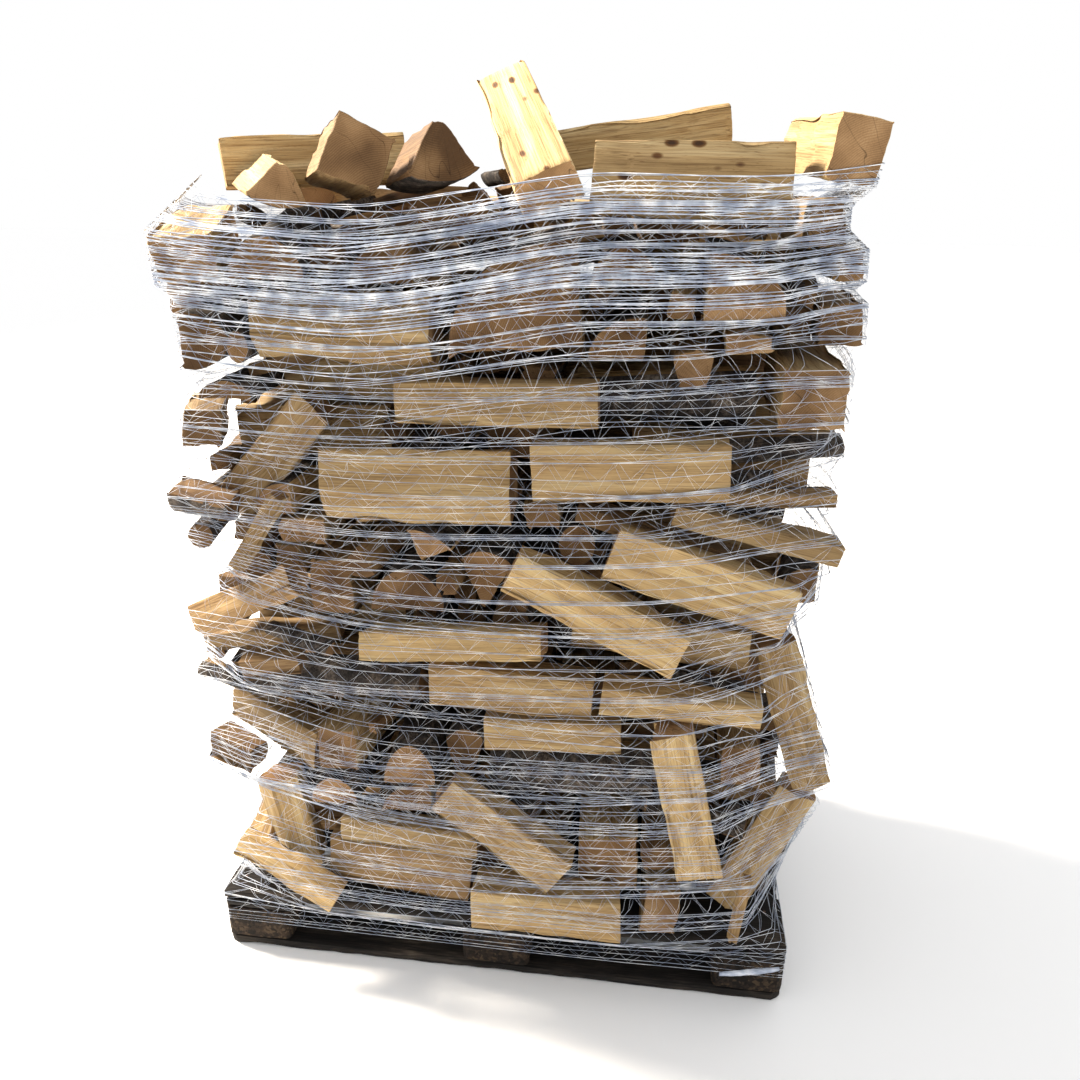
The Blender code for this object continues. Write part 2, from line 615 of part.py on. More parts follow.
def front_of(ring, x):
    """How far forward a ring of the net reaches at x."""
    found = []
    for a, b in zip(ring, ring[1:] + ring[:1]):
        if min(a[0], b[0]) <= x <= max(a[0], b[0]) and a[0] != b[0]:
            found.append(a[1] + (b[1] - a[1]) * (x - a[0]) / (b[0] - a[0]))
    return min(found)


def build_tail(logs, collection):
    """The end of the net, twisted into a short roll that lies against the net at the deck's right corner."""
    low_rings = net_rings(logs, NET_CLEAR + NET_THICK + TAIL_CLEAR + TAIL_RADIUS)[:2]
    curve = bpy.data.curves.new("net_tail", "CURVE")
    curve.dimensions = "3D"
    curve.bevel_depth = TAIL_RADIUS
    curve.bevel_resolution = 2
    curve.use_fill_caps = True
    line = curve.splines.new("POLY")
    line.points.add(len(TAIL_LINE) - 1)
    for point, (x, height) in zip(line.points, TAIL_LINE):
        point.co = (x, min(front_of(ring, x) for ring in low_rings), height, 1.0)
    made = bpy.data.objects.new("net_tail", curve)
    curve.materials.append(material(NET_PLASTIC))
    collection.objects.link(made)
    return made


def build_load(collection):
    """All the logs: own front logs, joined front logs, the other sides, the top and the inside."""
    rng = random.Random(SEED)
    placed = []
    add_front_logs(placed)
    front, back = np.array((0, FRONT_Y + 0.02, 0)), np.array((0, LOAD_BACK, 0))
    left, right = np.array((LOAD_LEFT, 0, 0)), np.array((LOAD_RIGHT, 0, 0))
    x_way, y_way = np.array((1.0, 0, 0)), np.array((0, 1.0, 0))
    sides = {"start": SIDE_FRONT, "end": SIDE_BACK, "top": LOAD_TOP, "along": y_way, "sizes": SIDE_SIZES,
             "lying": SIDE_LYING, "reach": SIDE_REACH}
    made = [stack_face(rng, placed, "left", face=left, inward=x_way, **sides),
            stack_face(rng, placed, "right", face=right, inward=-x_way, **sides),
            stack_face(rng, placed, "front", LOAD_LEFT + 0.03, LOAD_RIGHT - 0.03, FRONT_TOP, front, x_way, y_way,
                       FRONT_SIZES, 0.0, FRONT_REACH),
            stack_face(rng, placed, "back", LOAD_LEFT + 0.04, LOAD_RIGHT - 0.04, LOAD_TOP, back, x_way, -y_way,
                       BACK_SIZES, BACK_LYING, BACK_REACH)]
    print("logs made for the sides, front and back:", made)
    add_core(rng, placed)
    drop_top(rng, placed)
    for log in placed:
        if log.own:
            log_object(log, collection)
    for group, body in join_groups(placed).items():
        join_logs(f"logs_{group}", body, collection)
        print(group, len(body), "logs")
    return placed


def main():
    for old in list(bpy.data.objects):
        bpy.data.objects.remove(old)
    collection = bpy.data.collections.new(COLLECTION)
    bpy.context.scene.collection.children.link(collection)
    build_pallet(collection)
    logs = build_load(collection)
    build_net(logs, collection)
    build_tail(logs, collection)


main()
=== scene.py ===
# %% [markdown]
# # A pallet of split firewood under a wound net
#
# This is how split logs are sold by the load: thrown and stacked on a 1200 x 800 mm pallet, and wound
# round and round with a white knitted net until nothing can slip out. The top logs lie loose.
# The solids of the load are there already. This lesson gives each log its torn fibres, sawn ends and
# bark, winds the net yarn by yarn, and weathers the pallet.

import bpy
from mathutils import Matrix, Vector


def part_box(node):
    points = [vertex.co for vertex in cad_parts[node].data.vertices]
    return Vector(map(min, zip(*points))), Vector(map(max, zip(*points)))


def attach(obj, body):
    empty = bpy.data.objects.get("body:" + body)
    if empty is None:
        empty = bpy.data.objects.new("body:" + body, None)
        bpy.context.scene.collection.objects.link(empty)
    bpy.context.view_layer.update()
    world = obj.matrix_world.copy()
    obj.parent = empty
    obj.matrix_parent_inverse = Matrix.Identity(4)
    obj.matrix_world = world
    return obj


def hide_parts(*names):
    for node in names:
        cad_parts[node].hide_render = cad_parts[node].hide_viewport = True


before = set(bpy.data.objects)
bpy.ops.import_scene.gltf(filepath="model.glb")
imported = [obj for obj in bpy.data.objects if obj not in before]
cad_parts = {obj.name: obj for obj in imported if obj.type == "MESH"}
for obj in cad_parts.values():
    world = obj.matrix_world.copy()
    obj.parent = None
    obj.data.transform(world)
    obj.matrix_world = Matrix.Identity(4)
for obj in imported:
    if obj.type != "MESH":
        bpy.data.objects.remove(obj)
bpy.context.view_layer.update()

# %% What Blender and numpy bring
import math
import random

import bpy
import numpy as np
from mathutils import Euler, Matrix, Vector

# %% [markdown]
# ## The camera
#
# A standing person looks slightly down at the load from about 1.6 m. The camera comes first. It has a
# 31 mm lens on a 36 mm square frame, which is a phone's wide view cropped to a square.

# %% The camera
CAMERA_AT = Vector((0.2768, -1.9166, 1.5794))
CAMERA_YAW, CAMERA_DOWN, CAMERA_ROLL = math.radians(-7.143), math.radians(20.84), math.radians(0.608)
SENSOR_WIDTH = 36
PHOTO_WIDTH, FOCAL_PIXELS = 1080, 930.1
CAMERA_LENS = SENSOR_WIDTH * FOCAL_PIXELS / PHOTO_WIDTH


def make_camera():
    """A camera that looks along +Y, turned left by the yaw and down, then rolled about its own axis."""
    lens = bpy.data.cameras.new("eye_level_camera")
    lens.lens = CAMERA_LENS
    lens.sensor_width = SENSOR_WIDTH
    camera = bpy.data.objects.new("eye_level_camera", lens)
    bpy.context.scene.collection.objects.link(camera)
    level = Matrix.Rotation(-CAMERA_YAW, 4, "Z") @ Matrix.Rotation(math.pi / 2 - CAMERA_DOWN, 4, "X")
    camera.matrix_world = Matrix.Translation(CAMERA_AT) @ level @ Matrix.Rotation(CAMERA_ROLL, 4, "Z")
    bpy.context.scene.camera = camera
    return camera


camera = make_camera()
print("camera at", [round(v, 3) for v in camera.location], "lens", round(CAMERA_LENS, 1), "mm")

# %% [markdown]
# ## Where each log lies
#
# A split log is a convex prism: a section of the trunk, pulled out straight. The same tables that
# placed the solids are used here, so every detailed log lands in the solid it belongs to. A log is
# slid along its way until it is clear of its neighbours, by the separating axis rule: two convex
# shapes are apart when their shadows on some line are apart.

# %% Sizes of the load
PALLET_DEPTH, PALLET_HEIGHT = 0.800, 0.144
LOG_LENGTH = 0.330
LOG_GAP, BITE = 0.0006, 0.010
DECK = PALLET_HEIGHT + LOG_GAP
LOAD_LEFT, LOAD_RIGHT, LOAD_BACK = -0.560, 0.570, 0.420
LOAD_TOP, FRONT_TOP, LOOSE_TOP = 1.510, 1.605, 1.665
LOWER_TOP, MIDDLE_TOP = 0.600, 1.060
GROUPS = ("lower", "middle", "upper")
CORE_Y = 0.045
SIDE_FRONT, SIDE_BACK = -0.385, 0.340
SIDE_SIZES, SIDE_LYING, SIDE_REACH = (0.12, 0.085), 0.35, 0.12
FRONT_SIZES, FRONT_REACH = (0.11, 0.08, 0.06), 0.20
BACK_SIZES, BACK_LYING, BACK_REACH = (0.12, 0.09), 0.45, 0.14
SEED = 15
PUSHES = [0.01 * step for step in range(16)]
THINNER = (1.0, 0.86, 0.72, 0.6)
FRONT_Y = -PALLET_DEPTH / 2
X_WAY, Y_WAY = np.array((1.0, 0.0, 0.0)), np.array((0.0, 1.0, 0.0))
UP, DOWN = np.array((0.0, 0.0, 1.0)), np.array((0.0, 0.0, -1.0))
# The camera's place to a millimetre, from which the solids were placed too.
EYE = np.array((0.277, -1.917, 1.579))

# %% [markdown]
# ## The sections that splitting leaves
#
# An axe opens a trunk along its rays. That gives wedges and quarters with bark on the outer side,
# and further blows give slabs and blocks with no bark at all. Each section is drawn in a unit box,
# first the depth and then the height, and minus depth is the side that faces forward.

# %% Sections
SECTIONS = {
    "slab": [(-0.5, -0.5), (0.38, -0.42), (0.5, 0.0), (0.42, 0.45), (-0.5, 0.5)],
    "block": [(-0.5, -0.42), (0.46, -0.5), (0.5, 0.44), (-0.44, 0.5)],
    "ridge": [(-0.5, -0.06), (-0.25, -0.5), (0.5, -0.38), (0.5, 0.36), (-0.28, 0.5)],
    "wedge": [(-0.07, -0.5), (0.08, -0.5), (0.5, 0.3), (0.2, 0.5), (-0.2, 0.48), (-0.5, 0.34)],
    "half": [(-0.5, -0.4), (0.5, -0.4), (0.46, 0.02), (0.24, 0.38), (-0.02, 0.5), (-0.26, 0.36),
             (-0.47, 0.0)],
    "bark": [(0.5, -0.5), (0.5, 0.5), (0.0, 0.48), (-0.36, 0.27), (-0.5, 0.0), (-0.36, -0.28),
             (0.0, -0.5)],
    "quarter": [(-0.5, -0.5), (0.5, -0.5), (0.44, -0.1), (0.22, 0.26), (-0.1, 0.46), (-0.5, 0.5)],
    "round": [(0.5, 0.0), (0.35, 0.35), (0.0, 0.5), (-0.35, 0.35), (-0.5, 0.0), (-0.35, -0.35),
              (0.0, -0.5), (0.35, -0.35)],
}

# %% [markdown]
# ## The logs that show
#
# Each row is one log of the photo's front or top, nearest first: its place across and its height on
# the front plane, how far behind it, its length (mm), the lean of its axis and its turn into the load
# (degrees), its section with height and thickness (mm), and the spin about its own axis (degrees).

# %% Logs that are solids of their own
FRONT_LOGS = [
    ("front_bottom_middle", 105, 148, -60, 305, 0, 0, "block", 108, 95, 0),
    ("front_leaning_right", 377, 450, -45, 322, -77, 0, "slab", 98, 85, 0),
    ("front_slanting_low", 10, 345, -48, 285, -33, -6, "slab", 104, 80, 0),
    ("front_slanting_long", 190, 852, -40, 345, -25, 0, "slab", 98, 85, 0),
    ("front_slanting_wide", 372, 925, -25, 335, -17, 0, "slab", 108, 80, 0),
    ("front_with_orange_top", -85, 770, -30, 345, 4, 0, "block", 68, 110, -12),
    ("front_middle_right", 238, 1124, -20, 335, 3, 0, "slab", 108, 95, 0),
    ("front_middle_left", -145, 1075, -15, 350, 1, 0, "ridge", 150, 110, 0),
    ("front_middle_high", 5, 1229, -15, 350, 1, 0, "block", 90, 90, 0),
    ("front_upper_left", -262, 1345, -10, 320, 0, -3, "ridge", 135, 100, 12),
    ("top_long_right", 310, 1588, -5, 310, -1, 0, "block", 126, 120, 0),
    ("top_right_corner", 550, 1632, -15, 320, 3, 97, "block", 105, 88, 14),
    ("top_tall", 96, 1572, -5, 330, 31, 113, "block", 84, 112, -24),
    ("top_brown_left", -205, 1622, 40, 240, -4, 117, "block", 112, 112, 28),
    ("top_brown_middle", -72, 1628, 60, 240, -4, 114, "wedge", 105, 140, 176),
    ("top_low_left", -338, 1578, 20, 240, 4, 118, "wedge", 82, 118, 190),
    ("top_far_left", -270, 1612, 215, 340, 3, 27, "block", 105, 100, 0),
    ("top_far_right", 232, 1645, 210, 330, 8, 12, "slab", 85, 90, 0),
    ("corner_left_high", -512, 1462, 0, 300, 8, 106, "block", 92, 120, 0),
    ("front_end_big", 35, 1408, 0, 330, 3, 94, "quarter", 178, 235, -6),
    ("corner_right_high", 528, 1262, -5, 320, 0, 90, "block", 116, 120, 4),
    ("right_fan_middle", 462, 1022, 5, 300, -13, 4, "slab", 46, 90, 0),
    ("corner_left_middle", -514, 1170, -5, 210, -3, 113, "block", 84, 84, 12),
    ("right_short_slab", 495, 1088, 5, 190, 2, 6, "slab", 38, 80, 0),
    ("right_fan_top", 300, 1004, 20, 330, -17, 0, "slab", 42, 85, 0),
    ("left_splint", -445, 975, -12, 185, 56, -6, "block", 40, 42, 0),
    ("left_sunlit_split", -490, 828, 5, 250, 29, -8, "ridge", 85, 80, 0),
    ("front_wide_middle", 30, 682, -12, 320, -2, 0, "slab", 98, 95, 0),
    ("front_right_middle", 352, 672, -22, 296, -3, 0, "slab", 62, 90, 0),
    ("front_low_middle", 112, 588, -8, 270, 1, 0, "block", 84, 90, 0),
    ("right_edge_standing", 560, 665, -8, 320, -72, 0, "ridge", 92, 90, 0),
    ("right_edge_slanting", 525, 365, -12, 320, 66, 0, "ridge", 95, 85, 0),
    ("left_standing", -440, 322, 28, 225, -80, 0, "ridge", 105, 90, 0),
    ("left_lowest", -455, 198, -42, 240, -27, -4, "slab", 64, 62, 0),
    ("splint_right", 500, 200, -12, 160, 84, 0, "block", 30, 36, 0),
]

# %% Logs of the front that are joined to the load
JOINED_FRONT_LOGS = [
    ("front_slanting_left", -398, 1160, 0, 270, 49, -4, "slab", 94, 84, 0),
    ("front_end_right_high", 408, 1435, 0, 320, 2, 90, "quarter", 135, 112, 90),
    ("front_end_left_high", -375, 1460, -10, 310, 9, 98, "half", 88, 130, 0),
    ("front_lower_left_end", -400, 1050, 45, 320, 4, 84, "quarter", 100, 120, 0),
    ("rough_low_left", -212, 205, -15, 310, -5, 0, "block", 132, 100, 0),
    ("low_pale", -180, 322, 5, 290, -2, 0, "slab", 78, 90, 0),
    ("low_end_right", 232, 305, 15, 320, 0, 92, "block", 165, 140, 0),
    ("low_small_end_right", 340, 190, -2, 300, 0, 90, "block", 128, 84, 6),
    ("bark_low", 150, 495, 25, 330, 2, 0, "bark", 130, 110, 0),
    ("pale_end_low", -58, 530, -2, 320, 0, 90, "wedge", 146, 90, 6),
    ("half_end_low", -170, 500, 18, 320, 0, 92, "half", 118, 120, 0),
    ("pale_turned", -325, 522, 0, 300, 2, 84, "block", 116, 100, 0),
    ("left_point", -470, 562, 5, 250, -12, -25, "slab", 100, 95, 0),
    ("bark_middle", -294, 672, 20, 312, 1, 0, "bark", 102, 105, 0),
    ("end_one", -300, 882, 28, 320, 0, 90, "block", 132, 104, 4),
    ("end_two", -158, 880, 35, 320, 0, 91, "half", 104, 148, 0),
    ("end_three", -12, 912, 28, 320, 0, 88, "wedge", 122, 112, 6),
    ("end_four", -380, 930, 20, 300, 0, 86, "block", 92, 70, 0),
    ("end_five", -350, 988, 32, 300, 0, 92, "slab", 60, 98, 0),
    ("end_six", -120, 968, 12, 300, -4, 85, "wedge", 62, 100, 20),
    ("end_seven", 152, 990, 45, 300, 0, 90, "round", 92, 78, 0),
    ("end_eight", 90, 1040, 55, 300, 0, 92, "block", 78, 92, 0),
    ("bark_high", 298, 1248, 55, 330, 4, 0, "bark", 92, 90, 0),
    ("end_bark_left", -500, 1325, 12, 300, 0, 98, "half", 108, 112, 90),
    ("end_round_left", -436, 1318, 5, 280, 0, 94, "round", 74, 52, 0),
    ("slab_end_left", -468, 1240, 15, 300, 0, 92, "half", 46, 105, 0),
    ("end_right_two", 420, 1338, 25, 300, 0, 90, "block", 54, 120, 0),
    ("point_right_bark", 476, 1162, 85, 325, 4, 8, "bark", 56, 76, 0),
    ("end_right_far", 560, 1470, 60, 300, 0, 96, "block", 62, 55, 0),
    ("end_right_top", 518, 1540, 45, 300, 0, 92, "block", 88, 70, 0),
    ("end_high_one", 215, 1462, 45, 300, 0, 92, "half", 84, 120, 0),
    ("end_high_two", 310, 1405, 60, 300, 0, 88, "block", 62, 62, 10),
    ("end_high_three", 232, 1345, 45, 300, 0, 90, "quarter", 80, 105, 0),
    ("end_high_four", -190, 1462, 55, 300, 0, 90, "quarter", 84, 120, 0),
    ("end_left_low", -500, 1035, 25, 300, 0, 94, "round", 92, 90, 0),
    ("slab_left", -430, 764, 42, 290, 6, 6, "slab", 48, 85, 0),
    ("bark_left", -540, 726, 28, 300, 0, 98, "round", 64, 60, 0),
    ("bark_left_low", -512, 655, 15, 200, -8, -12, "bark", 76, 80, 0),
    ("end_left_small", -545, 880, 35, 280, 0, 100, "round", 58, 55, 0),
    ("end_right_low", 470, 565, 38, 300, 0, 92, "block", 96, 84, 0),
    ("end_right_brown", 560, 936, 18, 280, -4, 80, "quarter", 74, 82, 0),
    ("slant_right_pale", 432, 765, 18, 180, 52, 0, "block", 42, 60, 0),
    ("bark_right_low", 566, 285, 78, 230, 76, 0, "bark", 62, 70, 0),
    ("end_low_one", 440, 220, 55, 300, 0, 90, "quarter", 96, 100, 0),
    ("end_low_two", -545, 250, 30, 260, 0, 98, "block", 74, 60, 12),
    ("end_low_three", -430, 448, 20, 300, 0, 88, "quarter", 88, 96, 90),
    ("end_low_four", -330, 425, 35, 300, 0, 90, "half", 84, 110, 0),
    ("end_low_five", -180, 425, 35, 300, 0, 92, "quarter", 82, 120, 0),
    ("left_corner_high", -520, 1400, 60, 300, 0, 97, "quarter", 84, 84, 90),
    ("left_corner_middle", -500, 1110, 75, 300, 0, 95, "block", 70, 84, 0),
    ("left_corner_low", -495, 690, 85, 300, 0, 96, "quarter", 84, 90, 90),
    ("right_corner_high", 555, 1380, 70, 300, 0, 86, "block", 80, 84, 0),
    ("right_corner_low", 520, 500, 80, 300, 0, 86, "quarter", 110, 84, 90),
    ("right_corner_lowest", 530, 370, 90, 300, 0, 86, "block", 90, 84, 0),
]

# %% A log as a prism
class Log:
    """A split log as a convex prism, which can be slid until it is clear of the logs already placed."""

    def __init__(self, name, length, lean, turn, section, high, thick, spin, own=False):
        self.name = name
        self.own = own
        self.group = None
        self.section, self.high, self.thick = section, high, thick
        self.outline = [(y * thick, z * high) for y, z in SECTIONS[section]]
        self.length = length
        self.end_on = turn >= 60
        self.turned = Euler((math.radians(spin), math.radians(-lean), math.radians(turn))).to_matrix()
        local = [(end * length / 2, y, z) for end in (-1, 1) for y, z in self.outline]
        self.rotated = np.array([self.turned @ Vector(point) for point in local])
        axis = np.array(self.turned.col[0])
        near = self.rotated[: len(self.outline)]
        around = np.roll(near, -1, axis=0) - near
        sides = np.cross(around, axis)
        self.edges = np.vstack([around, axis])
        self.normals = np.vstack([sides / np.linalg.norm(sides, axis=1)[:, None], axis])
        self.place(np.zeros(3))

    def place(self, at):
        self.at = np.array(at, dtype=float)
        self.points = self.rotated + self.at
        self.low, self.top = self.points.min(axis=0), self.points.max(axis=0)

    def face_point(self):
        """From the middle of the log to the middle of the face or end that faces forward."""
        local = (-self.length / 2, 0, 0) if self.end_on else (0, min(y for y, z in self.outline), 0)
        return np.array(self.turned @ Vector(local))

# %% Sliding a log until it is clear
TINY = 1e-6


def closer_than(gap, moving, fixed, way):
    """The stretch of travel along way in which two logs are closer than gap, or None."""
    crossed = np.cross(moving.edges[:, None], fixed.edges[None]).reshape(-1, 3)
    sizes = np.linalg.norm(crossed, axis=1)
    crossed = crossed[sizes > 1e-9] / sizes[sizes > 1e-9][:, None]
    axes = np.vstack([moving.normals, fixed.normals, crossed]).T
    a, b = moving.points @ axes, fixed.points @ axes
    speed = way @ axes
    apart = np.concatenate([b.min(axis=0) - a.max(axis=0), a.min(axis=0) - b.max(axis=0)]) - gap
    rate = np.concatenate([-speed, speed])
    still = np.abs(rate) < 1e-9
    if (apart[still] >= 0).any():
        return None
    leaving, nearing = rate >= 1e-9, rate <= -1e-9
    start = (apart[nearing] / -rate[nearing]).max() if nearing.any() else -math.inf
    end = (-apart[leaving] / rate[leaving]).min() if leaving.any() else math.inf
    return (start, end) if start < end else None


def gap_between(a, b):
    """Logs of one group bite into each other a little, and all others keep a gap."""
    return -BITE if a.group == b.group and not (a.own or b.own) else LOG_GAP


def stretches(log, placed, way, limit):
    """Every stretch of travel up to limit in which the log would be too close to a placed one."""
    found = []
    low = np.minimum(log.low, log.low + way * limit) - LOG_GAP
    high = np.maximum(log.top, log.top + way * limit) + LOG_GAP
    for other in placed:
        if (other.top > low).all() and (other.low < high).all():
            span = closer_than(gap_between(log, other), log, other, way)
            if span:
                found.append(span)
    return found


def first_clear(log, placed, way, limit):
    """The shortest travel along way at which the log is clear, or None within limit."""
    spans = stretches(log, placed, way, limit)
    travel = 0.0
    while True:
        blocking = [end for start, end in spans if start < travel < end]
        if not blocking:
            return travel if travel <= limit else None
        travel = max(blocking) + TINY


def add_log(log, placed, way, limit):
    """Slides the log clear of what is placed and adds it, or leaves it out."""
    travel = first_clear(log, placed, way, limit)
    if travel is None:
        return False
    log.place(log.at + way * travel)
    placed.append(log)
    return True

# %% Logs of the front
SET_DOWN = 0.03
FRONT_SLIDE, LAST_SLIDE = 0.09, 0.12


def group_of(log):
    """The joined solid that a log belongs to, by its height."""
    height = log.at[2]
    return "lower" if height < LOWER_TOP else "middle" if height < MIDDLE_TOP else "upper"


def front_log(row, own, size):
    """A log of the front, from its place on the front plane and how far behind it it lies. One that
    would end just above the deck is set down on it."""
    name, across, height, back, length, lean, turn, section, high, thick, spin = row
    high, thick = size * high / 1000, size * thick / 1000
    log = Log("log_" + name, length / 1000, lean, turn, section, high, thick, spin, own)
    on_plane = np.array((across / 1000, FRONT_Y, height / 1000))
    sight = (on_plane - EYE) / (FRONT_Y - EYE[1])
    log.place(on_plane + sight * back / 1000 - log.face_point())
    way = sight
    if log.low[2] < DECK + SET_DOWN:
        log.place(log.at + (0, 0, max(0.0, DECK - log.low[2])))
        way = Y_WAY
    log.group = group_of(log)
    return log, way


def add_front_logs(placed):
    """The front logs, nearest first. One that finds no room is made thinner until it does."""
    for rows, own in ((FRONT_LOGS, True), (JOINED_FRONT_LOGS, False)):
        for row in rows:
            for size in THINNER:
                log, way = front_log(row, own, size)
                if add_log(log, placed, way, FRONT_SLIDE if size > THINNER[-1] else LAST_SLIDE):
                    break

# %% Logs of the other sides
CUT_SECTIONS = ("slab", "block", "block", "wedge", "half", "quarter", "ridge")
STEP_ALONG, STEP_UP = 0.5, 0.55


def cut_log(rng, name, length, turn, lean, size):
    """A log of the other sides, its section drawn from what the front shows."""
    section = rng.choice(CUT_SECTIONS)
    high = size * rng.uniform(0.85, 1.1)
    thick = size * rng.uniform(0.9, 1.3)
    spin = rng.choice((0, 90, 180, 270)) + rng.uniform(-12, 12)
    return Log(name, length, lean, turn, section, high, thick, spin)


def stack_face(rng, placed, name, start, end, top, face, along, inward, sizes, lying, reach):
    """Logs on one face of the load, end-on or lying along it, big ones first and then smaller ones
    where there is still room. Each is slid in until it is clear."""
    heading = math.degrees(math.atan2(inward[1], inward[0]))
    made = 0
    for size in sizes:
        height = DECK + size / 2
        while height < top - size / 2:
            at = start + rng.uniform(0.0, 0.04)
            while at < end - size / 2:
                length = LOG_LENGTH + rng.uniform(-0.02, 0.015)
                flat = rng.random() < lying and start + length / 2 < at < end - length / 2
                turn = heading + rng.uniform(-8, 8) + (90 if flat else 0)
                log = cut_log(rng, f"{name}_{made}", length, turn, rng.uniform(-4, 4), size)
                depth = (log.top - log.low) @ np.abs(inward) / 2
                centre = along * at + face + inward * (depth + rng.uniform(-0.012, 0.025))
                log.place((centre[0], centre[1], height + rng.uniform(-0.01, 0.01)))
                log.place(log.at + (0, 0, max(0.0, DECK - log.low[2])))
                log.group = group_of(log)
                added = add_log(log, placed, inward, reach)
                made += added
                at += log.length if added and flat else size * STEP_ALONG
            height += size * STEP_UP
    return made

# %% Logs inside and on top
CORE_PLACES, CORE_SLIDE = (-0.34, 0.0, 0.34), 0.05
CORE_HIGH, CORE_THICK, CORE_STEP = 0.11, 0.15, 0.115
# Place across, place back and turn of each loose log.
LOOSE_LOGS = (
    (-0.40, 0.20, 80), (-0.28, 0.05, 10), (-0.12, 0.24, 60), (0.05, 0.10, 5), (0.16, 0.27, 95),
    (0.33, 0.12, 12), (0.46, 0.24, 85), (-0.02, 0.30, 20), (0.40, -0.08, 80), (-0.42, -0.10, 85),
    (-0.22, -0.12, 80), (0.02, -0.10, 85), (0.14, -0.06, 95), (0.30, -0.04, 5),
)
LOOSE_SIZE = 0.11
DROP_FROM, DROP_LIMIT = 2.0, 1.0


def add_core(rng, placed):
    """Big logs through the middle of the load, across the inner ends of the others, which bite into them."""
    height = PALLET_HEIGHT + 0.07
    while height < LOAD_TOP - 0.06:
        for x in CORE_PLACES:
            for size in THINNER:
                log = Log("core", LOG_LENGTH + 0.02, 0, 0, "block", CORE_HIGH * size, CORE_THICK * size, 0)
                log.place((x + rng.uniform(-0.01, 0.01), CORE_Y, height))
                log.group = group_of(log)
                apart = [other for other in placed if other.own or other.group != log.group]
                if add_log(log, apart, Y_WAY, CORE_SLIDE):
                    placed.append(log)
                    break
        height += CORE_STEP


def lower_onto(log, placed):
    """Lowers a log of the top until it rests on what is placed."""
    log.group = "upper"
    log.place(log.at + DOWN * min(start for start, end in stretches(log, placed, DOWN, DROP_LIMIT)))


def drop_top(rng, placed):
    """Loose logs that lie on the load behind the front ones, each lowered until it rests."""
    for x, y, turn in LOOSE_LOGS:
        log = cut_log(rng, "loose", LOG_LENGTH, turn + rng.uniform(-8, 8), rng.uniform(-3, 3), LOOSE_SIZE)
        log.place((x, y, DROP_FROM))
        lower_onto(log, placed)
        if log.top[2] < LOOSE_TOP:
            placed.append(log)

# %% Joining the logs of a group
def overlap(a, b):
    """Whether two logs bite into each other."""
    if (a.low > b.top).any() or (b.low > a.top).any():
        return False
    span = closer_than(-BITE / 4, a, b, UP)
    return bool(span) and span[0] < 0 < span[1]


def joined_sets(logs):
    """Sets of logs that touch, the largest first."""
    left, sets = list(logs), []
    while left:
        found, edge = [], [left.pop()]
        while edge:
            log = edge.pop()
            found.append(log)
            touching = [other for other in left if overlap(log, other)]
            left = [other for other in left if other not in touching]
            edge += touching
        sets.append(found)
    return sorted(sets, key=len, reverse=True)


def bites(log, body):
    return any(overlap(log, other) for other in body)


def too_close(log, others):
    """Whether the log is too close to any of the others where it lies."""
    return any(start < 0 < end for start, end in stretches(log, others, UP, 0.0))


def pull_in(waiting, body, apart):
    """Pushes each waiting log inward, down or up until it bites into the body, clear of the rest."""
    for push in PUSHES:
        for log in list(waiting):
            inward = np.array((-log.at[0], CORE_Y - log.at[1], 0.0))
            home = log.at
            for way in (inward / (np.linalg.norm(inward) + 1e-9), DOWN, UP):
                log.place(home + way * push)
                if log.low[2] > DECK and bites(log, body) and not too_close(log, apart):
                    body.append(log)
                    waiting.remove(log)
                    break
                log.place(home)


def join_groups(placed):
    """The logs of each group as one touching set. A log that touches none of its own group is pushed in
    until it bites, or joins another group, and is left out where that fails too."""
    bodies, waiting = {}, {}
    for group in GROUPS:
        sets = joined_sets([log for log in placed if log.group == group and not log.own])
        bodies[group] = sets[0]
        waiting[group] = [log for found in sets[1:] for log in found]
    for group in GROUPS:
        pull_in(waiting[group], bodies[group], [log for log in placed if log.own or log.group != group])
    for group in GROUPS:
        for other in GROUPS:
            if other != group:
                for log in list(waiting[group]):
                    log.group = other
                    pull_in([log], bodies[other], [one for one in placed if one.own or one.group != other])
                    if log in bodies[other]:
                        waiting[group].remove(log)
                    else:
                        log.group = group
        for log in waiting[group]:
            placed.remove(log)
    return bodies

# %% Stacking the whole load
FRONT_INSET, SIDE_INSET, BACK_INSET = 0.02, 0.03, 0.04


def build_load():
    """All the logs: own front logs, joined front logs, the other sides, the top and the inside."""
    rng = random.Random(SEED)
    placed = []
    add_front_logs(placed)
    sides = {"start": SIDE_FRONT, "end": SIDE_BACK, "top": LOAD_TOP, "along": Y_WAY, "sizes": SIDE_SIZES,
             "lying": SIDE_LYING, "reach": SIDE_REACH}
    front = {"start": LOAD_LEFT + SIDE_INSET, "end": LOAD_RIGHT - SIDE_INSET, "top": FRONT_TOP,
             "along": X_WAY, "sizes": FRONT_SIZES, "lying": 0.0, "reach": FRONT_REACH}
    back = {"start": LOAD_LEFT + BACK_INSET, "end": LOAD_RIGHT - BACK_INSET, "top": LOAD_TOP,
            "along": X_WAY, "sizes": BACK_SIZES, "lying": BACK_LYING, "reach": BACK_REACH}
    faces = (("left", LOAD_LEFT * X_WAY, X_WAY, sides), ("right", LOAD_RIGHT * X_WAY, -X_WAY, sides),
             ("front", (FRONT_Y + FRONT_INSET) * Y_WAY, Y_WAY, front),
             ("back", LOAD_BACK * Y_WAY, -Y_WAY, back))
    made = [stack_face(rng, placed, name, face=face, inward=inward, **settings)
            for name, face, inward, settings in faces]
    print("logs of the sides, front and back:", made)
    add_core(rng, placed)
    drop_top(rng, placed)
    return placed, join_groups(placed)

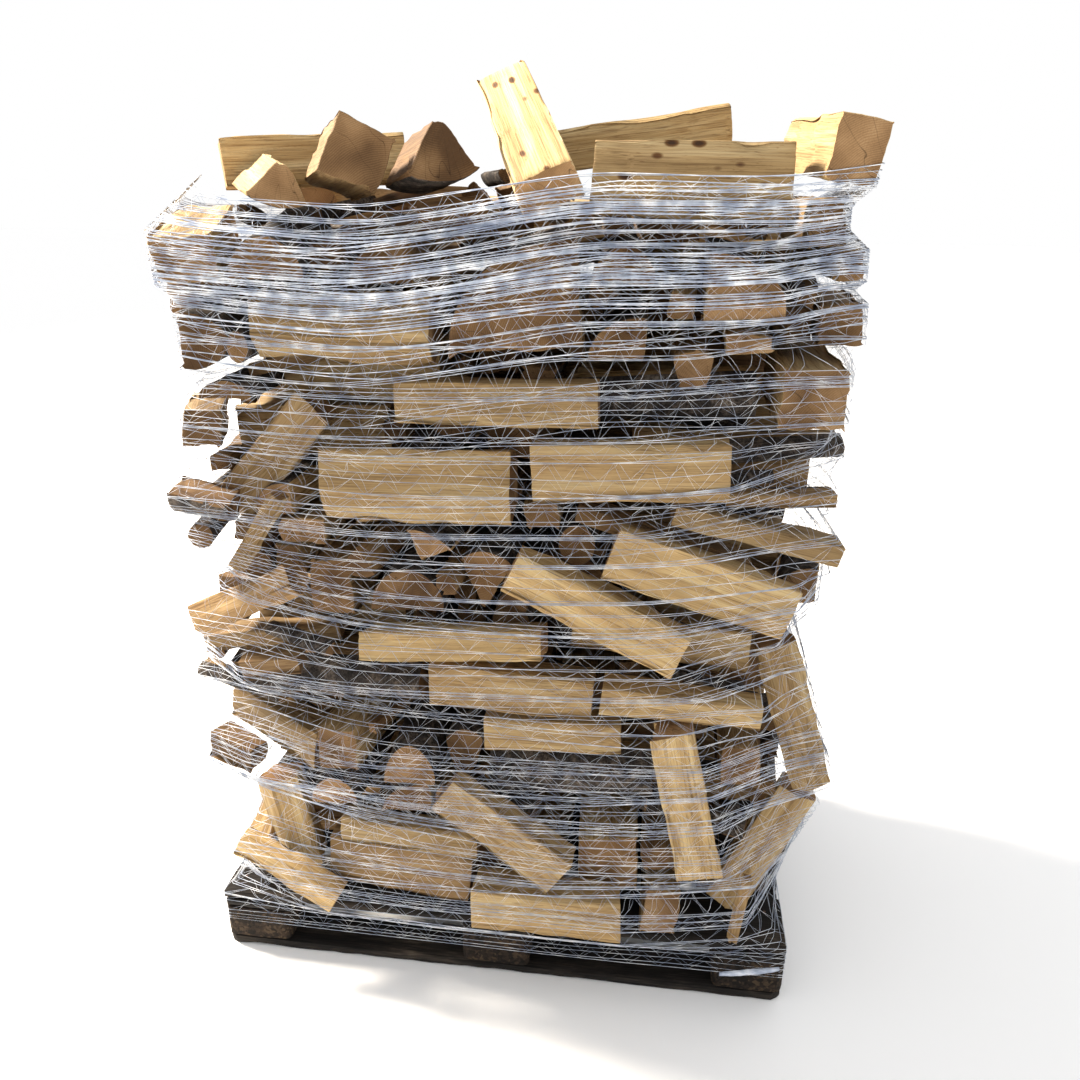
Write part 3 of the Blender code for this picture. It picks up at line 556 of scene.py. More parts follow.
# %% The load
placed_logs, log_bodies = build_load()
print("logs:", len(placed_logs), {group: len(body) for group, body in log_bodies.items()})

# %% [markdown]
# ## Kindling in the gaps
#
# A load of split wood is never all big logs. Short thin splits and broken ends fall into the gaps
# and close most of the view through the load. They are too small and too many to be solids of the
# part. Each is pushed in from a side, or dropped from above, until it is clear of what lies there.
# A few are set one by one, in slits that would otherwise let the light through.

# %% Sizes of the kindling
KINDLING_LENGTH, KINDLING_SIZE = (0.10, 0.26), (0.030, 0.056)
KINDLING_SLIDE, KINDLING_RECESS = 0.06, 0.11
LEFT_BULGE, BULGE_SIZE, BULGE_RISE, BULGE_RECESS = -0.603, (0.045, 0.085), (0.42, 1.42), 0.03
HIGH_FRONT_RISE, HIGH_FRONT_BACK = (1.36, FRONT_TOP), 0.10
DROPPED_LENGTH, DROPPED_SIZE = (0.16, 0.30), (0.045, 0.085)
DROPPED_ACROSS, DROPPED_BACK, DROPPED_TOP = 0.46, 0.28, LOOSE_TOP - 0.065
SLIT_SIZES, SLIT_STUBBY = (0.075, 0.055, 0.040, 0.030), 2.2
SLIT_START, SLIT_SLIDE, SLIT_CORNER = 0.28, 0.60, 0.4
# Place across and height of each slit, in the plane through the middle of the load.
SLITS = (
    (-0.144, 1.531), (-0.060, 1.468), (0.130, 1.457), (0.212, 1.510), (0.555, 1.395), (-0.565, 1.516),
    (-0.113, 1.090), (0.580, 0.390), (0.570, 0.450), (-0.580, 1.135), (-0.590, 0.920), (-0.570, 0.520),
    (0.590, 1.034), (-0.598, 1.155), (-0.606, 1.112), (-0.600, 0.540), (0.352, 1.514), (0.451, 1.508),
    (-0.155, 1.497), (0.580, 0.356),
)

# %% Kindling pushed in, dropped in and set in slits
def push_in(face, along, inward, span, rise, tries, sizes=KINDLING_SIZE, recess=KINDLING_RECESS):
    """Short splits pushed into one side of the load wherever there is room, some deeper than others."""
    rng = random.Random(SEED + tries)
    heading = math.degrees(math.atan2(inward[1], inward[0]))
    found = []
    for _ in range(tries):
        size = rng.uniform(*sizes)
        log = cut_log(rng, "kindling", rng.uniform(*KINDLING_LENGTH), heading + rng.uniform(-25, 25),
                      rng.uniform(-16, 16), size)
        depth = (log.top - log.low) @ np.abs(inward) / 2 + rng.uniform(0.0, recess)
        centre = face + along * rng.uniform(*span) + inward * depth
        log.place((centre[0], centre[1], rng.uniform(*rise)))
        log.group = group_of(log)
        if log.low[2] > DECK and add_log(log, placed_logs, inward, KINDLING_SLIDE):
            found.append(log)
    return found


def drop_in(tries):
    """Short splits dropped on top, kept where they lie lower than the big ones."""
    rng = random.Random(SEED + tries)
    found = []
    for _ in range(tries):
        size = rng.uniform(*DROPPED_SIZE)
        log = cut_log(rng, "kindling", rng.uniform(*DROPPED_LENGTH), rng.uniform(0, 180),
                      rng.uniform(-8, 8), size)
        log.place((rng.uniform(-DROPPED_ACROSS, DROPPED_ACROSS), rng.uniform(-DROPPED_BACK, DROPPED_BACK),
                   DROP_FROM))
        lower_onto(log, placed_logs)
        if log.top[2] < DROPPED_TOP:
            placed_logs.append(log)
            found.append(log)
    return found


def close_slits():
    """A split in each slit that is closed in the photo, pushed on along the line of sight until clear."""
    rng = random.Random(SEED)
    found = []
    for x, z in SLITS:
        middle = np.array((x, 0.0, z))
        way = (middle - EYE) / np.linalg.norm(middle - EYE)
        for size in SLIT_SIZES:
            turn = 0 if abs(x) < SLIT_CORNER else 90
            log = cut_log(rng, "kindling", SLIT_STUBBY * size, turn + rng.uniform(-15, 15),
                          rng.uniform(-15, 15), size)
            log.place(middle - way * SLIT_START)
            log.group = group_of(log)
            clear = add_log(log, list(placed_logs), way, SLIT_SLIDE)
            if clear and LOAD_LEFT < log.low[0] and log.top[0] < LOAD_RIGHT:
                placed_logs.append(log)
                found.append(log)
                break
    return found


def make_kindling():
    """All the kindling: the slits first, then each side with its number of tries, then the top."""
    rise, deep = (PALLET_HEIGHT + 0.05, LOAD_TOP), (SIDE_FRONT, SIDE_BACK)
    wide = (LOAD_LEFT + SIDE_INSET, LOAD_RIGHT - SIDE_INSET)
    front = Y_WAY * (FRONT_Y + FRONT_INSET)
    made = close_slits()
    made += push_in(X_WAY * LEFT_BULGE, Y_WAY, X_WAY, deep, BULGE_RISE, 600, BULGE_SIZE, BULGE_RECESS)
    made += push_in(X_WAY * LOAD_LEFT, Y_WAY, X_WAY, deep, rise, 700)
    made += push_in(X_WAY * LOAD_RIGHT, Y_WAY, -X_WAY, deep, rise, 500)
    made += push_in(front, X_WAY, Y_WAY, wide, rise, 500)
    made += push_in(front + Y_WAY * HIGH_FRONT_BACK, X_WAY, Y_WAY, wide, HIGH_FRONT_RISE, 500)
    made += push_in(Y_WAY * LOAD_BACK, X_WAY, -Y_WAY, wide, rise, 500)
    return made + drop_in(120)


kindling = make_kindling()
for log in kindling:
    log_bodies[log.group].append(log)
print("kindling:", len(kindling))

# %% [markdown]
# ## The surface of one log
#
# The three surfaces of a split log could not look less alike. The split faces are torn along the
# fibres, in long shallow ridges with a few steps where a sliver came away. The ends are flat, from the
# saw, with a slightly broken rim. The bark side is round and rough. A grid of points round and along
# the log carries all three: each point is moved inwards by a height that depends on which surface
# it lies on, so the log never grows out of its solid. Noise stretched along the log makes the fibres.

# %% Smooth noise on a table
NOISE_CELLS = 128
noise_table = np.random.default_rng(5).random((NOISE_CELLS, NOISE_CELLS))


def noise(u, v):
    """Smooth noise from 0 to 1, one hill or hollow for each whole step of u and v."""
    u, v = np.broadcast_arrays(np.asarray(u, float), np.asarray(v, float))
    iu, iv = np.floor(u).astype(int), np.floor(v).astype(int)
    fu, fv = u - iu, v - iv
    fu, fv = fu * fu * (3 - 2 * fu), fv * fv * (3 - 2 * fv)
    corner = [[noise_table[(iu + a) % NOISE_CELLS, (iv + b) % NOISE_CELLS] for b in (0, 1)] for a in (0, 1)]
    low = corner[0][0] * (1 - fu) + corner[1][0] * fu
    high = corner[0][1] * (1 - fu) + corner[1][1] * fu
    return low * (1 - fv) + high * fv

# %% The outline of a log, with its corners taken off
SPLIT, END, BARK = 0, 1, 2
BARK_SIDES = {"half": (1, 2, 3, 4, 5, 6), "bark": (2, 3, 4, 5), "quarter": (1, 2, 3, 4), "slab": (1, 2),
              "round": tuple(range(8)), "wedge": (2, 3, 4), "block": (), "ridge": ()}
PITH = {"half": (0.0, -0.42), "bark": (0.55, 0.0), "quarter": (-0.5, -0.5), "slab": (-1.6, 0.1),
        "round": (0.0, 0.0), "wedge": (0.0, -0.62), "block": (-0.9, -0.75), "ridge": (0.8, -0.9)}
CORNER_BREAK, BARK_CUT, LARGEST_CUT = 0.0025, 0.25, 0.3


def cut_corners(points, kinds, rounding):
    """Cuts every corner once. Between two bark sides the cut is deep, so that the bark comes out round."""
    new_points, new_kinds = [], []
    count = len(points)
    for i in range(count):
        p, q = points[i], points[(i + 1) % count]
        length = math.dist(p, q)
        share = []
        for before, after in ((i - 1, i), (i, (i + 1) % count)):
            soft = kinds[before] == BARK and kinds[after] == BARK
            hard = min(LARGEST_CUT, CORNER_BREAK / length) if rounding == 0 else 0.0
            share.append(BARK_CUT if soft else hard)
        start, end = p + (q - p) * share[0], q - (q - p) * share[1]
        next_kind = BARK if kinds[i] == BARK and kinds[(i + 1) % count] == BARK else SPLIT
        new_points.append(start)
        new_kinds.append(kinds[i])
        if share[1] > 0:
            new_points.append(end)
            new_kinds.append(next_kind)
    return new_points, new_kinds


def walk_outline(log, count):
    """Points round the log's section, the kind of side each one starts, and how far round it is."""
    kinds = [BARK if i in BARK_SIDES[log.section] else SPLIT for i in range(len(log.outline))]
    points = [np.array(p) for p in log.outline]
    for rounding in range(2 if BARK in kinds else 1):
        points, kinds = cut_corners(points, kinds, rounding)
    lengths = [math.dist(points[i], points[(i + 1) % len(points)]) for i in range(len(points))]
    step = sum(lengths) / count
    walked, walked_kinds, way_round = [], [], []
    done = 0.0
    for i, length in enumerate(lengths):
        cuts = max(1, round(length / step))
        for k in range(cuts):
            walked.append(points[i] + (points[(i + 1) % len(points)] - points[i]) * k / cuts)
            walked_kinds.append(kinds[i])
            way_round.append(done + length * k / cuts)
        done += length
    return np.array(walked), np.array(walked_kinds), np.array(way_round)

# %% The relief of split wood and of bark
def split_relief(s, x, seed):
    """How deep the torn surface lies, in metres, at s round the log and x along it."""
    fibre = noise(s / 0.0055 + seed, x / 0.11 + seed * 1.7)
    ridge = noise(s / 0.019 + seed * 2.3, x / 0.21)
    hollow = noise(s / 0.060 + seed * 1.3, x / 0.120 + seed * 0.9)
    sliver = noise(s / 0.034 + seed * 0.7, x / 0.13 + seed)
    step = np.clip((sliver - 0.60) / 0.06, 0, 1)
    return 0.0012 * fibre + 0.0024 * ridge + 0.0085 * hollow ** 2 + 0.0030 * step


def edge_wear(outline, kinds, s, x, seed):
    """Splits run out at a long edge and leave it ragged, so the corners of the section lose more."""
    before, after = outline - np.roll(outline, 1, axis=0), np.roll(outline, -1, axis=0) - outline
    bend = np.arctan2(before[:, 0] * after[:, 1] - before[:, 1] * after[:, 0], (before * after).sum(axis=1))
    sharp = np.clip(np.abs(bend) / 0.6, 0, 1) * (kinds == SPLIT)
    sharp = np.maximum(sharp, 0.6 * np.maximum(np.roll(sharp, 1), np.roll(sharp, -1)))
    ragged = noise(x / 0.045 + seed, s[None] / 0.02 + seed * 0.37)
    return sharp[None] * 0.0080 * np.clip(ragged - 0.25, 0, 1)


def bark_relief(s, x, seed):
    """Beech bark is nearly smooth: shallow folds across the log and small warts."""
    fold = noise(s / 0.030 + seed, x / 0.012 + seed)
    wart = np.clip((noise(s / 0.007 + seed, x / 0.008) - 0.72) / 0.2, 0, 1)
    return 0.0022 - 0.0012 * fold - 0.0010 * wart

# %% One log as points and faces
RIM, RIM_FRAY = 0.0012, 0.0016
END_TILT, TAPER = 0.11, 0.11
RIM_SHARE, CAP_SHARE = 0.006, 0.55


def saw_cuts(log, outline, s):
    """Where the log ends at each point of its outline: cuts that are never quite square, with frayed rims."""
    tilt = END_TILT * (noise(log.seed, (0.3, 5.3, 9.1, 14.7)) - 0.5)
    ends = []
    for side, across_and_up in ((-1, tilt[:2]), (1, tilt[2:])):
        slope = outline @ across_and_up
        broken = RIM_FRAY * np.clip(noise(s / 0.006 + log.seed, side + log.seed) - 0.45, 0, 1)
        ends.append(side * (log.length / 2 - (slope - slope.min()) - broken))
    return ends


def log_faces(rows, n, kinds):
    """The quads between rows of n points, and at each end a ring of quads round a fan of triangles."""
    k = np.arange(n)
    nxt = (k + 1) % n
    last = (rows - 1) * n
    first_cap, second_cap, centre = rows * n, (rows + 1) * n, (rows + 2) * n
    quads = [np.stack([a + k, a + nxt, a + n + nxt, a + n + k], axis=1) for a in range(0, last, n)]
    quads.append(np.stack([k, first_cap + k, first_cap + nxt, nxt], axis=1))
    quads.append(np.stack([last + k, last + nxt, second_cap + nxt, second_cap + k], axis=1))
    fans = np.concatenate([np.stack([first_cap + nxt, first_cap + k, np.full(n, centre)], axis=1),
                           np.stack([second_cap + k, second_cap + nxt, np.full(n, centre + 1)], axis=1)])
    return np.concatenate(quads), fans, np.concatenate([np.tile(kinds, rows - 1), np.full(4 * n, END)])


def log_surface(log, around, along):
    """The log's points in its own axes, its quads, its triangles and the kind of each face."""
    outline, kinds, s = walk_outline(log, around)
    seed = log.seed
    chord = np.roll(outline, -1, axis=0) - np.roll(outline, 1, axis=0)
    inward = np.stack([-chord[:, 1], chord[:, 0]], axis=1)
    inward /= np.linalg.norm(inward, axis=1)[:, None] + 1e-9
    share = np.concatenate([[0.0, RIM_SHARE], np.linspace(0, 1, along + 1)[1:-1], [1 - RIM_SHARE, 1.0]])
    near, far = saw_cuts(log, outline, s)
    x = near[None] + (far - near)[None] * share[:, None]
    depth = np.where(kinds == BARK, bark_relief(s[None], x, seed), split_relief(s[None], x, seed))
    depth += edge_wear(outline, kinds, s, x, seed)
    depth[[0, -1]] += RIM
    narrow = TAPER * float(noise(seed, 41.5)) * (share if seed % 2 < 1 else 1 - share)
    ring = outline[None] * (1 - narrow[:, None, None]) + inward[None] * depth[:, :, None]
    points = np.concatenate([x[:, :, None], ring], axis=2)
    centres = [rim.mean(axis=0) for rim in (points[0], points[-1])]
    caps = [middle + (rim - middle) * CAP_SHARE for middle, rim in zip(centres, (points[0], points[-1]))]
    vertices = np.concatenate([points.reshape(-1, 3), *caps, centres])
    return vertices, *log_faces(len(share), len(outline), kinds)

# %% Many logs as one mesh
def mesh_of(name, parts):
    """A mesh of many parts, each with points, quads, triangles, the material of each face and point data."""
    points, corners, sizes, kinds = [], [], [], []
    data = {}
    start = 0
    for part in parts:
        points.append(part["points"])
        quads, fans = part["quads"] + start, part["fans"] + start
        corners += [quads.ravel(), fans.ravel()]
        sizes += [np.full(len(quads), 4), np.full(len(fans), 3)]
        kinds.append(part["kinds"])
        for key, values in part["data"].items():
            data.setdefault(key, []).append(values)
        start += len(part["points"])
    points, corners = np.concatenate(points), np.concatenate(corners)
    sizes, kinds = np.concatenate(sizes), np.concatenate(kinds)
    mesh = bpy.data.meshes.new(name)
    mesh.vertices.add(len(points))
    mesh.vertices.foreach_set("co", points.ravel().astype(np.float32))
    mesh.loops.add(len(corners))
    mesh.loops.foreach_set("vertex_index", corners.astype(np.int32))
    mesh.polygons.add(len(sizes))
    starts = np.concatenate([[0], np.cumsum(sizes)[:-1]])
    mesh.polygons.foreach_set("loop_start", starts.astype(np.int32))
    mesh.polygons.foreach_set("material_index", kinds.astype(np.int32))
    mesh.update(calc_edges=True)
    for key, values in data.items():
        attribute = mesh.attributes.new(key, "FLOAT_VECTOR", "POINT")
        attribute.data.foreach_set("vector", np.concatenate(values).ravel().astype(np.float32))
    mesh.validate()
    return mesh


def triangles(mesh):
    return sum(len(polygon.vertices) - 2 for polygon in mesh.polygons)

# %% [markdown]
# ## The age of each log, and painted sun and shade
#
# Fresh splits are cream, and turn tan and then grey-brown outside. Each log has a brown share and a
# light share. The logs that stand out get theirs from the photo, and the others by chance. A light
# share above 1 is painted sunlight on logs that face the sun. Logs deep inside are darker and browner,
# partly dirt and partly painted shade. Two of the top logs are knotty: their grain number is past
# KNOTTY_FROM.

# %% Colour shares
# A light share above 1 is painted sunlight, on logs that face the sun: top_tall, top_far_left, top_far_right,
# left_sunlit_split, left_lowest, left_standing and corner_left_high.
SHARES_WITH_PAINTED_LIGHT = {
    "front_bottom_middle": (0.16, 0.75), "front_leaning_right": (0.08, 1.0),
    "front_slanting_low": (0.30, 0.6), "front_slanting_long": (0.10, 1.0),
    "front_slanting_wide": (0.14, 0.9), "front_slanting_left": (0.42, 0.5),
    "front_with_orange_top": (0.10, 0.9), "front_middle_right": (0.28, 0.6), "front_middle_left": (0.26, 0.6),
    "front_middle_high": (0.32, 0.5), "front_upper_left": (0.32, 0.55), "front_wide_middle": (0.30, 0.6),
    "front_right_middle": (0.18, 0.8), "front_low_middle": (0.24, 0.7), "front_end_big": (0.45, 0.5),
    "top_long_right": (0.20, 0.6), "top_right_corner": (0.10, 0.9), "top_tall": (0.0, 1.5),
    "top_brown_left": (0.55, 0.6), "top_brown_middle": (0.92, 0.35), "top_low_left": (0.14, 0.8),
    "top_far_left": (0.0, 1.3), "top_far_right": (0.0, 1.2), "right_edge_standing": (0.30, 0.6),
    "right_edge_slanting": (0.20, 0.8), "right_fan_top": (0.75, 0.5), "left_standing": (0.14, 1.1),
    "left_lowest": (0.06, 1.2), "left_sunlit_split": (0.62, 1.3), "corner_left_high": (0.15, 1.1),
    "splint_right": (0.45, 1.0), "rough_low_left": (0.60, 0.5), "end_two": (0.75, 0.4),
}
KNOTTY, KNOTTY_FROM = ("top_long_right", "top_tall"), 7


def look_of(log):
    """The brown share and the light share of a log, and a number that makes its grain its own. The light
    share also holds painted sunlight and painted shade.
    """
    short = log.name.removeprefix("log_")
    own = log.seed % KNOTTY_FROM + (KNOTTY_FROM if short in KNOTTY else 0)
    if short in SHARES_WITH_PAINTED_LIGHT:
        return (*SHARES_WITH_PAINTED_LIGHT[short], own)
    chance, light = float(noise(log.seed, 31.5)), float(noise(log.seed, 77.2))
    # Kindling that sticks out on the left, the side the key light comes from, is made lighter: painted
    # sunlight.
    if log.name == "kindling" and log.low[0] < LOAD_LEFT - 0.04:
        return 0.2 + 0.5 * chance, 0.4 + light, own
    # Logs deep inside are made darker and browner: partly dirt, partly painted shade.
    if log.name in ("core", "kindling") or log.name.startswith("front_"):
        return 0.55 + 0.45 * chance, 0.4 * light, own
    return 0.15 + 0.65 * chance ** 1.5, light, own


def log_part(log, around, along):
    """A log's surface in the world, with the coordinates that its materials need."""
    local, quads, fans, kinds = log_surface(log, around, along)
    pith = np.array(PITH[log.section]) * (log.thick, log.high)
    return {"points": local @ np.array(log.turned).T + log.at, "quads": quads, "fans": fans, "kinds": kinds,
            "data": {"grain": local - (0, *pith), "shares": np.tile(look_of(log), (len(local), 1))}}

# %% [markdown]
# ## Finishes
#
# A finish starts from what the real surface is. The colours are read as sRGB hex values, the way a
# paint chart gives them, and shaders want them linear. One helper adds a node, sets it and links it.

# %% Helpers for finishes
def colour(code):
    """An sRGB hex colour as linear red, green, blue and a full alpha."""
    channels = [int(code[i:i + 2], 16) / 255 for i in (1, 3, 5)]
    return (*[c / 12.92 if c <= 0.04045 else ((c + 0.055) / 1.055) ** 2.4 for c in channels], 1.0)


def set_inputs(tree, node, inputs):
    """Links each input of a node where its value is another node's output, and sets it where it isn't."""
    for key, value in inputs.items():
        if isinstance(value, bpy.types.NodeSocket):
            tree.links.new(value, node.inputs[key])
        else:
            node.inputs[key].default_value = value


def add_node(tree, kind, settings=None, inputs=None):
    """A new node with its settings made and its inputs set or linked. A ramp takes (place, colour) pairs."""
    made = tree.nodes.new(kind)
    for key, value in (settings or {}).items():
        if key == "ramp":
            while len(made.color_ramp.elements) < len(value):
                made.color_ramp.elements.new(0.5)
            for element, (place, code) in zip(made.color_ramp.elements, value):
                element.position = place
                element.color = colour(code)
        else:
            setattr(made, key, value)
    set_inputs(tree, made, inputs or {})
    return made


def darkened(tree, base, field, ramp, amount):
    """A colour with a layer laid over it, which follows a field through a ramp and only darkens."""
    layer = add_node(tree, "ShaderNodeValToRGB", {"ramp": ramp}, {"Fac": field}).outputs["Color"]
    return add_node(tree, "ShaderNodeMix", {"data_type": "RGBA", "blend_type": "MULTIPLY"},
                    {0: amount, 6: base, 7: layer}).outputs[2]


def new_material(name):
    """An empty material with its shader already joined to the output."""
    material = bpy.data.materials.new(name)
    material.use_nodes = True
    tree = material.node_tree
    return material, tree, tree.nodes["Principled BSDF"]

# %% [markdown]
# ## Split beech
#
# The wood is beech, air-dried and split. The torn faces scatter light evenly, so they look dull, and
# the broken fibres draw fine streaks along the log. Wood has an index of refraction near 1.5 and
# almost no gloss when torn. The fibre streaks are 2 to 3 mm apart here: real fibres are finer, but
# from two metres only these bundles show.

# %% Split beech
# Scale along, round and through the log of each pattern, in hills per metre.
BEECH_PATTERNS = {"fibre": (7, 380, 380), "band": (2.2, 42, 42), "patch": (9, 16, 16),
                  "fleck": (70, 620, 620), "check": (0.9, 30, 30)}
KNOT_PATTERN = (16, 30, 30)
BEECH_IOR = 1.5


def split_beech():
    """The torn faces: bands of pale or brown wood, with streaks, flecks, fine cracks and a few knots."""
    material, tree, shader = new_material("split_beech")
    grain = add_node(tree, "ShaderNodeAttribute", {"attribute_name": "grain"}).outputs["Vector"]
    shares = add_node(tree, "ShaderNodeAttribute", {"attribute_name": "shares"}).outputs["Vector"]
    share = add_node(tree, "ShaderNodeSeparateXYZ", inputs={"Vector": shares})
    moved = add_node(tree, "ShaderNodeVectorMath", {"operation": "ADD"}, {0: grain, 1: shares}).outputs[0]
    field = {}
    for name, scale in BEECH_PATTERNS.items():
        vector = add_node(tree, "ShaderNodeVectorMath", {"operation": "MULTIPLY"},
                          {0: moved, 1: scale}).outputs[0]
        field[name] = add_node(tree, "ShaderNodeTexNoise", {"noise_dimensions": "3D"},
                               {"Vector": vector, "Scale": 1.0, "Detail": 3.0,
                                "Roughness": 0.6}).outputs["Fac"]
    pale = add_node(tree, "ShaderNodeValToRGB",
                    {"ramp": [(0.30, "#A68B5F"), (0.5, "#BDA375"), (0.72, "#D6C499")]},
                    {"Fac": field["band"]}).outputs["Color"]
    brown = add_node(tree, "ShaderNodeValToRGB",
                     {"ramp": [(0.30, "#583F28"), (0.5, "#795837"), (0.72, "#98744B")]},
                     {"Fac": field["band"]}).outputs["Color"]
    spread = add_node(tree, "ShaderNodeMath", {"operation": "MULTIPLY_ADD", "use_clamp": True},
                      {0: field["patch"], 1: 1.1, 2: -0.62}).outputs[0]
    browned = add_node(tree, "ShaderNodeMath", {"operation": "ADD", "use_clamp": True},
                       {0: spread, 1: share.outputs["X"]}).outputs[0]
    base = add_node(tree, "ShaderNodeMix", {"data_type": "RGBA"}, {0: browned, 6: pale, 7: brown}).outputs[2]
    base = darkened(tree, base, field["fibre"],
                    [(0.34, "#A08D78"), (0.50, "#F0EAE0"), (0.7, "#FFFFFF")], 0.68)
    base = darkened(tree, base, field["fleck"], [(0.62, "#FFFFFF"), (0.68, "#A87C54")], 0.4)
    off = add_node(tree, "ShaderNodeMath", {"operation": "SUBTRACT"}, {0: field["check"], 1: 0.5}).outputs[0]
    line = add_node(tree, "ShaderNodeMath", {"operation": "ABSOLUTE"}, {0: off}).outputs[0]
    base = darkened(tree, base, line, [(0.001, "#80664A"), (0.005, "#FFFFFF")], 0.45)
    cells = add_node(tree, "ShaderNodeVectorMath", {"operation": "MULTIPLY"},
                     {0: moved, 1: KNOT_PATTERN}).outputs[0]
    near = add_node(tree, "ShaderNodeTexVoronoi", {"feature": "F1"},
                    {"Vector": cells, "Scale": 1.0}).outputs["Distance"]
    knotty = add_node(tree, "ShaderNodeMath", {"operation": "GREATER_THAN"},
                      {0: share.outputs["Z"], 1: KNOTTY_FROM}).outputs[0]
    base = darkened(tree, base, near, [(0.08, "#5A4330"), (0.15, "#96785A"), (0.21, "#FFFFFF")], knotty)
    # The light share scales the colour, so it carries the painted sunlight and painted shade of the logs.
    level = add_node(tree, "ShaderNodeMath", {"operation": "MULTIPLY_ADD"},
                     {0: share.outputs["Y"], 1: 0.42, 2: 0.56}).outputs[0]
    final = add_node(tree, "ShaderNodeVectorMath", {"operation": "SCALE"},
                     {0: base, "Scale": level}).outputs[0]
    bump = add_node(tree, "ShaderNodeBump",
                    inputs={"Height": field["fibre"], "Strength": 0.8, "Distance": 0.002})
    set_inputs(tree, shader, {"Base Color": final, "Normal": bump.outputs["Normal"], "Roughness": 0.78,
                              "IOR": BEECH_IOR, "Specular IOR Level": 0.3})
    return material

# %% [markdown]
# ## Sawn ends
#
# A chainsaw cuts across the fibres, and cut fibres drink in light: the end of a log is always darker
# and browner than its side. Rings run round the pith, which lies at the tip of a wedge and
# outside a slab. Drying opens cracks that point at the pith. Rings are 3.2 mm apart here.

# %% Sawn ends
RING_SPACING = 0.0032


def sawn_end():
    """The ends: rings round the pith, cracks that point at it, open pores and the chain's scratches."""
    material, tree, shader = new_material("sawn_beech_end")
    grain = add_node(tree, "ShaderNodeAttribute", {"attribute_name": "grain"}).outputs["Vector"]
    shares = add_node(tree, "ShaderNodeAttribute", {"attribute_name": "shares"}).outputs["Vector"]
    share = add_node(tree, "ShaderNodeSeparateXYZ", inputs={"Vector": shares})
    flat = add_node(tree, "ShaderNodeVectorMath", {"operation": "MULTIPLY"},
                    {0: grain, 1: (0, 1, 1)}).outputs[0]
    moved = add_node(tree, "ShaderNodeVectorMath", {"operation": "ADD"}, {0: flat, 1: shares}).outputs[0]
    field = {}
    for name, scale in (("warp", 14.0), ("blotch", 12.0), ("pores", 420.0)):
        field[name] = add_node(tree, "ShaderNodeTexNoise",
                               inputs={"Vector": moved, "Scale": scale, "Detail": 2.0}).outputs["Fac"]
    far = add_node(tree, "ShaderNodeVectorMath", {"operation": "LENGTH"}, {0: flat}).outputs["Value"]
    wavy = add_node(tree, "ShaderNodeMath", {"operation": "MULTIPLY_ADD"},
                    {0: field["warp"], 1: 0.02, 2: far}).outputs[0]
    turns = add_node(tree, "ShaderNodeMath", {"operation": "MULTIPLY"},
                     {0: wavy, 1: math.tau / RING_SPACING}).outputs[0]
    rings = add_node(tree, "ShaderNodeMath", {"operation": "SINE"}, {0: turns}).outputs[0]
    mixed = add_node(tree, "ShaderNodeMath", {"operation": "MULTIPLY_ADD"},
                     {0: rings, 1: 0.05, 2: field["blotch"]}).outputs[0]
    toned = add_node(tree, "ShaderNodeMath", {"operation": "MULTIPLY_ADD"},
                     {0: share.outputs["X"], 1: -0.22, 2: mixed}).outputs[0]
    base = add_node(tree, "ShaderNodeValToRGB",
                    {"ramp": [(0.20, "#5F462E"), (0.38, "#826444"), (0.55, "#9F7E59"), (0.75, "#BA9E78")]},
                    {"Fac": toned}).outputs["Color"]
    parts = add_node(tree, "ShaderNodeSeparateXYZ", inputs={"Vector": flat})
    angle = add_node(tree, "ShaderNodeMath", {"operation": "ARCTAN2"},
                     {0: parts.outputs["Z"], 1: parts.outputs["Y"]}).outputs[0]
    wander = add_node(tree, "ShaderNodeMath", {"operation": "MULTIPLY"}, {0: far, 1: 3.0}).outputs[0]
    place = add_node(tree, "ShaderNodeCombineXYZ",
                     inputs={"X": angle, "Y": share.outputs["Z"], "Z": wander}).outputs[0]
    crack = add_node(tree, "ShaderNodeTexNoise",
                     inputs={"Vector": place, "Scale": 3.6, "Detail": 1.0}).outputs["Fac"]
    off = add_node(tree, "ShaderNodeMath", {"operation": "SUBTRACT"}, {0: crack, 1: 0.5}).outputs[0]
    line = add_node(tree, "ShaderNodeMath", {"operation": "ABSOLUTE"}, {0: off}).outputs[0]
    base = darkened(tree, base, line, [(0.0, "#40301F"), (0.006, "#FFFFFF")], 0.7)
    base = darkened(tree, base, field["pores"], [(0.3, "#A08C78"), (0.6, "#FFFFFF")], 0.22)
    # The light share scales the colour, so it carries the painted sunlight and painted shade of the logs.
    level = add_node(tree, "ShaderNodeMath", {"operation": "MULTIPLY_ADD"},
                     {0: share.outputs["Y"], 1: 0.42, 2: 0.52}).outputs[0]
    final = add_node(tree, "ShaderNodeVectorMath", {"operation": "SCALE"},
                     {0: base, "Scale": level}).outputs[0]
    cuts = add_node(tree, "ShaderNodeTexWave", {"wave_type": "BANDS", "bands_direction": "DIAGONAL"},
                    {"Vector": moved, "Scale": 60.0, "Distortion": 3.0, "Detail": 2.0}).outputs["Fac"]
    height = add_node(tree, "ShaderNodeMath", {"operation": "ADD"}, {0: cuts, 1: field["pores"]}).outputs[0]
    bump = add_node(tree, "ShaderNodeBump", inputs={"Height": height, "Strength": 0.4, "Distance": 0.0006})
    set_inputs(tree, shader, {"Base Color": final, "Normal": bump.outputs["Normal"], "Roughness": 0.85,
                              "IOR": BEECH_IOR, "Specular IOR Level": 0.2})
    return material

# %% [markdown]
# ## Beech bark
#
# Beech keeps a thin grey bark, and on stacked logs it is dark with algae and dirt in the folds and
# paler on the high spots. Colour follows noise at two sizes: patches of a few centimetres, and
# small pits of some millimetres.

